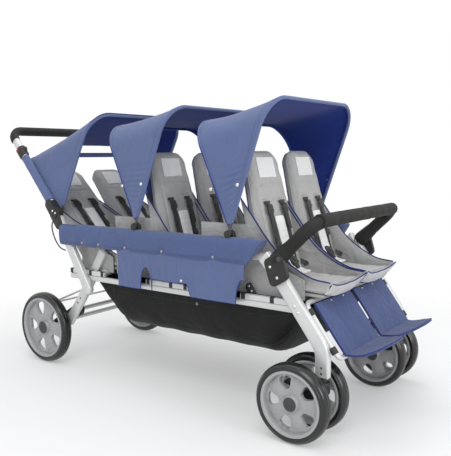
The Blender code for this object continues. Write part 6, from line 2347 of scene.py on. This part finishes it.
@dataclass
class Hood:
    """The rear canopy: a front part on its folding bow and a back part between the handle tubes."""

    half: float = 0.2772
    rod_half: float = 0.2725
    lean: float = math.radians(27)
    length: float = 0.440
    rod: float = 0.004
    back_half: float = 0.2830
    back_length: float = 0.303
    sag: float = 0.008
    middle: float = 0.46
    spread: float = 1.2
    sleeve: tuple[float, float] = (0.064, 0.300)
    sleeve_half: tuple[float, float] = (0.0196, 0.0132)
    window: tuple[float, float] = (0.16, 0.40)
    window_side: float = 0.062
    hem_line: float = 0.94
    seam: float = 0.0006
    piping: float = 0.0019
    eye_y: float = 0.2765
    front_cut: Point = (1.28, 0.27)
    back_cut: Point = (0.98, 0.24)

    def build(self) -> None:
        """Makes the hood."""
        self.bow()
        self.front_part()
        self.back_part()
        self.sleeves()
        LOG.info("hood")

    def surface(self, u: float, v: float, lift: float = 0.0) -> Vector:
        """A point of the hood from the handle tubes (v 0) to its front hem (v 1)."""
        front = Bow(PLAN.hub, self.lean, self.half, self.length + self.rod + 0.006)
        back = Bow(PLAN.hub, PLAN.handle_lean, self.back_half, self.back_length, corner=0.040)
        share = v**self.spread
        point = back.place(u).lerp(front.place(u), share)
        height = (front.spot(u)[1] / front.length) ** 1.5
        point.z -= self.sag * 4 * share * (1 - share) * height
        out = outward(point, height)
        fold = 0.0028 * math.sin(math.pi * v) * wave(point.x * 0.6, point.y * 0.6, point.z, 12, 9.0)
        tucks = creases(u, v, 9.0) * math.sin(math.pi * v)
        return point + out * (fold + tucks + lift)

    def rod_bow(self) -> Bow:
        """The shape of the hood's folding bow."""
        return Bow(PLAN.hub, self.lean, self.rod_half, self.length)

    def bow(self) -> None:
        """The hood's folding bow with its eyes at the hubs."""
        body = Frame.body_of["canopy_front_bow_rear"]
        piece(self.rod_bow().rod(self.rod), "front_bow_rear", DARK_ROD, body, ["canopy_front_bow_rear"])
        profile = [
            (0.0, -0.0044), (0.0092, -0.0044), (0.0106, -0.003), (0.0106, 0.003), (0.0092, 0.0044),
            (0.0, 0.0044),
        ]
        for side in Side:
            place = at(PLAN.hub[0], side.value * self.eye_y, PLAN.hub[1])
            eye = spun(profile, along(Vector((0, side.value, 0)), place))
            piece(eye, f"hood_eye_{side.word}", PLASTIC, body)

    def front_blend(self, obj: bpy.types.Object) -> bpy.types.Object:
        """Bakes the front part's place into its mesh; it is not attached to any body."""
        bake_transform(obj)
        return obj

    def back_blend(self, obj: bpy.types.Object) -> bpy.types.Object:
        """Bakes the back part's place into its mesh; it is not attached to any body."""
        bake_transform(obj)
        return obj

    def front_part(self) -> None:
        """The hood before the hubs."""
        m = self.middle

        def place(u: float, v: float) -> Vector:
            v = m + (1 - m) * v
            return self.surface(u, v, HEM_LIFT * ease_in((v - self.hem_line) / 0.008))

        sheet = lined(grid(120, 30, place), CANOPY_CLOTH)
        made = piece(sheet, "hood_front", (BLUE, NAVY), "", ["canopy_cloth_rear"], smooth=70)
        self.front_blend(made)
        hem = tube(self.rod_bow().hem(), self.rod + 0.0019)
        self.front_blend(piece(hem, "hood_hem_front", BLUE, "", smooth=70))
        seam = [self.surface(i / 160, self.hem_line, self.seam) for i in range(161)]
        self.front_blend(piece(tube(seam, self.seam, steps=6), "hood_seam_front", THREAD, ""))

    def back_part(self) -> None:
        """The hood behind the hubs, open above between its roof and the band at the handle."""
        m = self.middle
        sheet = grid(120, 30, lambda u, v: self.surface(u, m * v))
        low, high = self.window
        half = self.half - self.window_side

        def open_at(c: Vector) -> bool:
            level = Vector((c.x, 0, c.z))
            nearest = min(range(61), key=lambda i: (self.surface(0.5, m * i / 60) - level).length)
            return abs(c.y) < half and low < m * nearest / 60 < high

        sheet = lined(without(sheet, open_at), CANOPY_CLOTH)
        made = piece(sheet, "hood_back", (BLUE, NAVY), "", smooth=70)
        self.back_blend(made)
        for name, v in (("band", low), ("roof", high)):
            edge = [self.surface(0.5, v) + Vector((0, half * (2 * i / 40 - 1), 0)) for i in range(41)]
            self.back_blend(piece(tube(edge, self.piping, steps=8), f"hood_piping_{name}", PIPING, ""))
        edge = [self.surface(i / 120, 0.0) for i in range(121)]
        self.back_blend(piece(tube(edge, self.piping, steps=8), "hood_piping_back", PIPING, ""))

    def sleeves(self) -> None:
        """The cloth wrapped round the handle tubes at the hood's back corners."""
        lean = PLAN.handle_lean
        start, end = self.sleeve
        wide, thick = self.sleeve_half
        up = Vector((math.sin(lean), 0, math.cos(lean)))
        across = Vector((math.cos(lean), 0, -math.sin(lean)))
        for side in Side:
            s = side.value
            hub = at(PLAN.hub[0], s * PLAN.frame_y, PLAN.hub[1])

            def place(u: float, v: float) -> Vector:
                angle = 2 * math.pi * u
                loose = 1 + 0.06 * wave(v * 6, math.sin(angle), s, 2.2)
                forward = wide * math.cos(angle) * loose
                out = thick * math.sin(angle) * loose
                return hub + up * (start + (end - start) * v) + across * forward + Vector((0, s * out, 0))

            sheet = outwards(grid(36, 40, place))
            sheet = modify(sheet, "SOLIDIFY", thickness=0.0014, offset=0.0)
            piece(sheet, f"hood_sleeve_{side.word}", BLUE, "push_handle", smooth=70)
            for word, v in (("low", 0.0), ("high", 1.0)):
                edge = tube([place(i / 36, v) for i in range(36)], 0.0017, cyclic=True, steps=8)
                piece(edge, f"hood_sleeve_hem_{word}_{side.word}", PIPING, "push_handle")


# Basket


@dataclass
class Basket:
    """The long black basket: its cloth, rim hems, welts, seams and grommets."""

    front: float = -0.015
    length: float = 0.950
    depth: float = 0.185
    rim: float = 0.386
    half: float = 0.2638
    folds: int = 7
    rear_run: float = 0.16
    front_run: float = 0.16
    thick: float = 0.0020
    seam_inset: float = 0.012
    flat: Point = (1.02, 0.72)

    def build(self) -> None:
        """Makes the basket."""
        self.cloth()
        self.trim()
        LOG.info("basket")

    def surface(self, u: float, v: float, lift: float = 0.0) -> Vector:
        """A point of the basket, from back (u 0) to front and from the right rim (v 0) to the left."""
        share = (1 - math.cos(math.pi * u)) / 2
        turn = math.pi * (v - 0.5)
        rear, front = min(1.0, share / self.rear_run), min(1.0, (1 - share) / self.front_run)
        deep = self.depth * math.sin(rear * math.pi / 2) * math.sin(front * math.pi / 2)
        gather = 0.005 * (1 - math.cos(2 * math.pi * self.folds * share)) / 2
        across = self.half * abs(math.sin(turn)) ** 0.5 - gather * math.cos(turn)
        depth = deep * (1 - gather)
        low = max(math.cos(turn), 0.0) ** 0.5
        x = self.front - self.length * (1 - share)
        wrinkle = 0.0060 * wave(x + 0.15 * v, v * 0.6, low * 0.3, 13, 2.0)
        wrinkle += 0.0034 * wave(x - 0.2 * v, v * 2, low, 34, 5.0)
        drape = 0.0030 * math.sin(2 * math.pi * self.folds * share) * math.cos(turn)
        side = 1 if turn > 0 else -1
        y = side * (max(across, 0) + (wrinkle + drape) * (1 - low * 0.5) * low + lift * (1 - low**4))
        return at(x, y, self.rim - depth * low + (0.5 * wrinkle - lift) * low**4)

    def cloth(self) -> None:
        """The dense cloth, thickened."""
        sheet = outwards(grid(190, 72, self.surface), 1e-7)
        sheet = modify(sheet, "SOLIDIFY", thickness=self.thick, offset=0.0)
        made = piece(sheet, "basket_cloth", BLACK_CLOTH, "chassis", ["basket"], smooth=70)

    def trim(self) -> None:
        """The rim's rolled hem and stitching, the seams and the grommets."""
        for name, v, inset in (("right", 0.0, self.seam_inset), ("left", 1.0, -self.seam_inset)):
            rim = [self.surface(0.02 + 0.96 * i / 190, v) for i in range(191)]
            piece(tube(rim, 0.0030, steps=8), f"basket_rim_{name}", STRAP, "chassis")
            line = [self.surface(0.03 + 0.94 * i / 190, v + inset, 0.0013) for i in range(191)]
            piece(tube(line, 0.0007, steps=6), f"basket_stitching_{name}", STRAP, "chassis")
            seam = [self.surface(0.03 + 0.94 * i / 190, v + inset * 16, 0.0010) for i in range(191)]
            piece(tube(seam, 0.0013, steps=6), f"basket_seam_{name}", STRAP, "chassis")
        for name, u in (("rear", 0.215), ("front", 0.885)):
            welt = [self.surface(u, i / 100, 0.0012) for i in range(101)]
            piece(tube(welt, 0.0015, steps=6), f"basket_welt_{name}", STRAP, "chassis")
        for side in Side:
            place = at(-0.441, side.value * 0.2652, 0.352)
            profile = [(0.0022, -0.0020), (0.0050, -0.0020), (0.0056, 0.0)]
            profile += [(0.0050, 0.0014), (0.0030, 0.0011), (0.0022, -0.0004)]
            ring = spun(profile, along(Vector((0, side.value, 0)), place), 32, closed=True)
            piece(ring, f"basket_grommet_{side.word}", GUNMETAL, "chassis")


# Front fittings


@dataclass
class GrabBar:
    """The padded bar before the front row and the black plates that hold it."""

    start: Point = (-0.075, 0.555)
    lean: float = math.radians(46.7)
    half: float = 0.2985
    length: float = 0.165
    corner: float = 0.058
    radius: float = 0.0215
    plate_points: tuple[Point, ...] = ((-0.106, 0.534), (-0.088, 0.480), (-0.056, 0.500), (-0.072, 0.555))

    def build(self) -> None:
        """Makes the bar, its cups and its plates."""
        path = [(self.half, 0.004), (self.half, self.length), (-self.half, self.length), (-self.half, 0.004)]
        bent = [Vector((*p, 0)) for p in rounded(path, self.corner, 16)]
        line = spline([lean_plane(self.start, self.lean) @ p for p in bent], 180)
        normal = Matrix.Rotation(self.lean, 3, "Y") @ Vector((1, 0, 0))
        rings = []
        for i, point in enumerate(line):
            other = heading(line, i).cross(normal).normalized()
            seams = sum(groove(i - c, 1.0) for c in (6, 173))
            squeeze = 0.0007 * wave(point.x, point.y, point.z, 30) - 0.0012 * seams
            rings.append([point + (normal * a + other * b) for a, b in ring_of(self.radius + squeeze, 28)])
        piece(skin(rings), "grab_bar_foam", FOAM, "front_legs", ["grab_bar"], smooth=60)
        for side in Side:
            self.mount(side)
        LOG.info("grab bar")

    def mount(self, side: Side) -> None:
        """One side's cup, plate, rivets and release button."""
        s = side.value
        plane = lean_plane(self.start, self.lean)
        up = Vector((math.sin(self.lean), 0, math.cos(self.lean)))
        foot = plane @ Vector((s * self.half, -0.022, 0))
        profile = [(0.0, -0.004), (0.0230, -0.004), (0.0262, 0.000), (0.0272, 0.008), (0.0266, 0.020)]
        profile += [
            (0.0252, 0.034), (0.0238, 0.050), (0.0228, 0.062), (0.0222, 0.066), (0.0210, 0.066), (0.0, 0.064)
        ]
        piece(spun(profile, along(up, foot)), f"grab_cup_{side.word}", FOAM, "front_legs", smooth=60)
        for name, y, thick, grow in (("plate", 0.3142, 0.0156, 0.0165), ("cover", 0.3226, 0.0022, 0.0125)):
            rounds = [arc(c, grow, 0, 2 * math.pi * 23 / 24, 23) for c in self.plate_points]
            outline = hull([point for round_of in rounds for point in round_of])
            shape = plate(outline, side_plane(s * y), thick, 0.0018 if name == "plate" else 0.0007)
            piece(shape, f"grab_{name}_{side.word}", PLASTIC, "front_legs")
        out = Vector((0, s, 0))
        spots = facing(side, 0.3234, [(-0.0993, 0.524), (-0.0740, 0.4924)])
        Rivet(0.0048, 0.0020).put(f"grab_rivets_{side.word}", spots, STEEL, "front_legs")
        button = [(0.0, 0.0), (0.0076, 0.0), (0.0080, 0.0012), (0.0068, 0.0026), (0.0, 0.0030)]
        place = along(out, at(-0.068, s * 0.3232, 0.551))
        piece(spun(button, place, 32), f"grab_button_{side.word}", CAP, "front_legs")


def hull(points: Sequence[Point]) -> list[Point]:
    """The convex outline round points, anticlockwise."""
    ordered = sorted(set(points))
    halves = []
    for run in (ordered, ordered[::-1]):
        half: list[Point] = []
        for point in run:
            while len(half) > 1 and turn_of(half[-2], half[-1], point) <= 1e-9:
                half.pop()
            half.append(point)
        halves.append(half[:-1])
    return halves[0] + halves[1]


def turn_of(first: Point, second: Point, third: Point) -> float:
    """Twice the area of the three points' triangle, positive if they turn left."""
    return (second[0] - first[0]) * (third[1] - first[1]) - (second[1] - first[1]) * (third[0] - first[0])


@dataclass
class Footrests:
    """The footrest ring and the two blue footrests with their trays."""

    top: Point = (0.016, 0.409)
    length: float = 0.1788
    lean: float = math.radians(143.6)
    thick: float = 0.0078
    inner: float = 0.0115
    outer: float = 0.2500
    reach: float = 0.113
    rise: float = 0.035
    ring_radius: float = 0.008
    panel: float = 0.5

    def build(self) -> None:
        """Makes the ring and both footrests."""
        self.ring()
        for side in Side:
            self.sheet(side)
        LOG.info("footrests")

    @property
    def foot(self) -> Point:
        """Where the panel turns into the tray."""
        x, z = self.top
        return (x + self.length * math.sin(self.lean), z + self.length * math.cos(self.lean))

    def surface(self, side: Side, u: float, v: float) -> Vector:
        """A point of a footrest: down its panel to u 0.5, then along its tray."""
        y = self.inner + (self.outer - self.inner) * v
        (x0, z0), (x1, z1) = self.top, self.foot
        t = u / self.panel
        ripple = 0.0024 * wave(u * 0.5, v * 0.6, side.value, 5) + 0.0004 * wave(u, v, side.value, 11)
        if t <= 1:
            x, z = x0 + (x1 - x0) * t, z0 + (z1 - z0) * t
            return at(x + ripple * 0.8, side.value * y, z + ripple * 0.6)
        share = (u - self.panel) / (1 - self.panel) * (1 - 0.45 * abs(2 * v - 1) ** 3)
        return at(x1 + self.reach * share, side.value * y, z1 + self.rise * share**2 + ripple)

    def sheet(self, side: Side) -> None:
        """One footrest: a stiff padded sheet with a sewn border, piping and snaps."""
        word = side.word
        shape = cloth_sheet(70, 56, lambda u, v: self.surface(side, u, v), self.thick, 1e-7)
        normals = [v.normal.copy() for v in shape.data.vertices]
        for vertex, normal in zip(shape.data.vertices, normals):
            y = abs(vertex.co.y)
            x, z = vertex.co.x - Frame.axle_x, vertex.co.z
            down = (self.top[1] - z) / (self.top[1] - self.foot[1]) if x < self.foot[0] else 1.0
            side_line = min(abs(y - self.inner - 0.013), abs(y - self.outer + 0.013))
            top_line = abs(down - 0.085) * self.length
            bend = abs(x - self.foot[0] - 0.003) if x > self.foot[0] - 0.01 else 1.0
            sewn = max(groove(side_line, 0.0022), groove(top_line, 0.0022), 0.7 * groove(bend, 0.0030))
            vertex.co -= normal * 0.0011 * sewn
        shape = round_edges(shape, 0.0030, 3, 55)
        made = piece(shape, f"footrest_pad_{word}", BLUE_FOOT, "front_legs", [f"footrest_{word}"], smooth=60)
        rows = [self.surface(side, i / 60, 0.0) for i in range(61)]
        rim = rows + [self.surface(side, 1.0, i / 60) for i in range(1, 61)]
        rim += [self.surface(side, 1 - i / 60, 1.0) for i in range(1, 61)]
        lift = Vector((0, 0, 0.0026))
        binding = tube([p + lift for p in rim], 0.0016, steps=8)
        piece(binding, f"footrest_binding_{word}", PIPING, "front_legs")
        normal = Vector((math.cos(self.lean), 0, -math.sin(self.lean))) * -1
        snaps = [(self.surface(side, 0.018, v) + normal * 0.0042, normal) for v in (0.26, 0.60)]
        Rivet(0.0056, 0.0024).put(f"footrest_snaps_{word}", snaps, GUNMETAL, "front_legs")

    def ring(self) -> None:
        """The silver ring behind the footrests, with the black clips that hold them."""
        back = 0.0123
        plane = lean_plane(self.top, self.lean) @ Matrix.Translation((0, 0, back))
        corner = 0.022
        across = PLAN.rail_y - corner
        low, high = corner - 0.0137, self.length - corner
        places = ((-across, low, 2), (across, low, 3), (across, high, 0), (-across, high, 1))
        path: list[Vector] = []
        for x, y, quarter in places:
            turn = arc((x, y), corner, quarter * math.pi / 2, (quarter + 1) * math.pi / 2, 10)
            path += [plane @ Vector((*p, 0)) for p in turn]
        dense = []
        for near, far in zip(path, path[1:] + path[:1]):
            steps = max(1, round((far - near).length / 0.012))
            dense += [near.lerp(far, i / steps) for i in range(steps)]
        ring = tube(dense, self.ring_radius, cyclic=True, steps=20)
        piece(ring, "footrest_ring", SILVER, "front_legs", ["footrest_frame"])
        up = Vector((math.sin(self.lean), 0, math.cos(self.lean)))
        half = [(0.0082, -0.011), (0.0100, -0.011), (0.0112, -0.009)]
        profile = half + [(radius, -height) for radius, height in reversed(half)]
        for side in Side:
            middles = [plane @ Vector((side.value * PLAN.rail_y, place, 0)) for place in (0.018, 0.150)]
            shapes = [spun(profile, along(up, middle), 32, closed=True) for middle in middles]
            piece(joined(*shapes), f"footrest_clips_{side.word}", PLASTIC, "front_legs")


def main() -> None:
    """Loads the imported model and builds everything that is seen."""
    logging.basicConfig(level=logging.INFO, format="%(message)s", stream=sys.stdout)
    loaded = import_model()
    Frame.read(loaded)
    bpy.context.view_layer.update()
    frame = (Studio, Wheels, Casters, Tubes, Handle, Brake, SeatFrames)
    for kind in (*frame, Seats, Covers, Canopies, Hood, Basket, GrabBar, Footrests):
        kind().build()


if __name__ == "__main__":
    main()
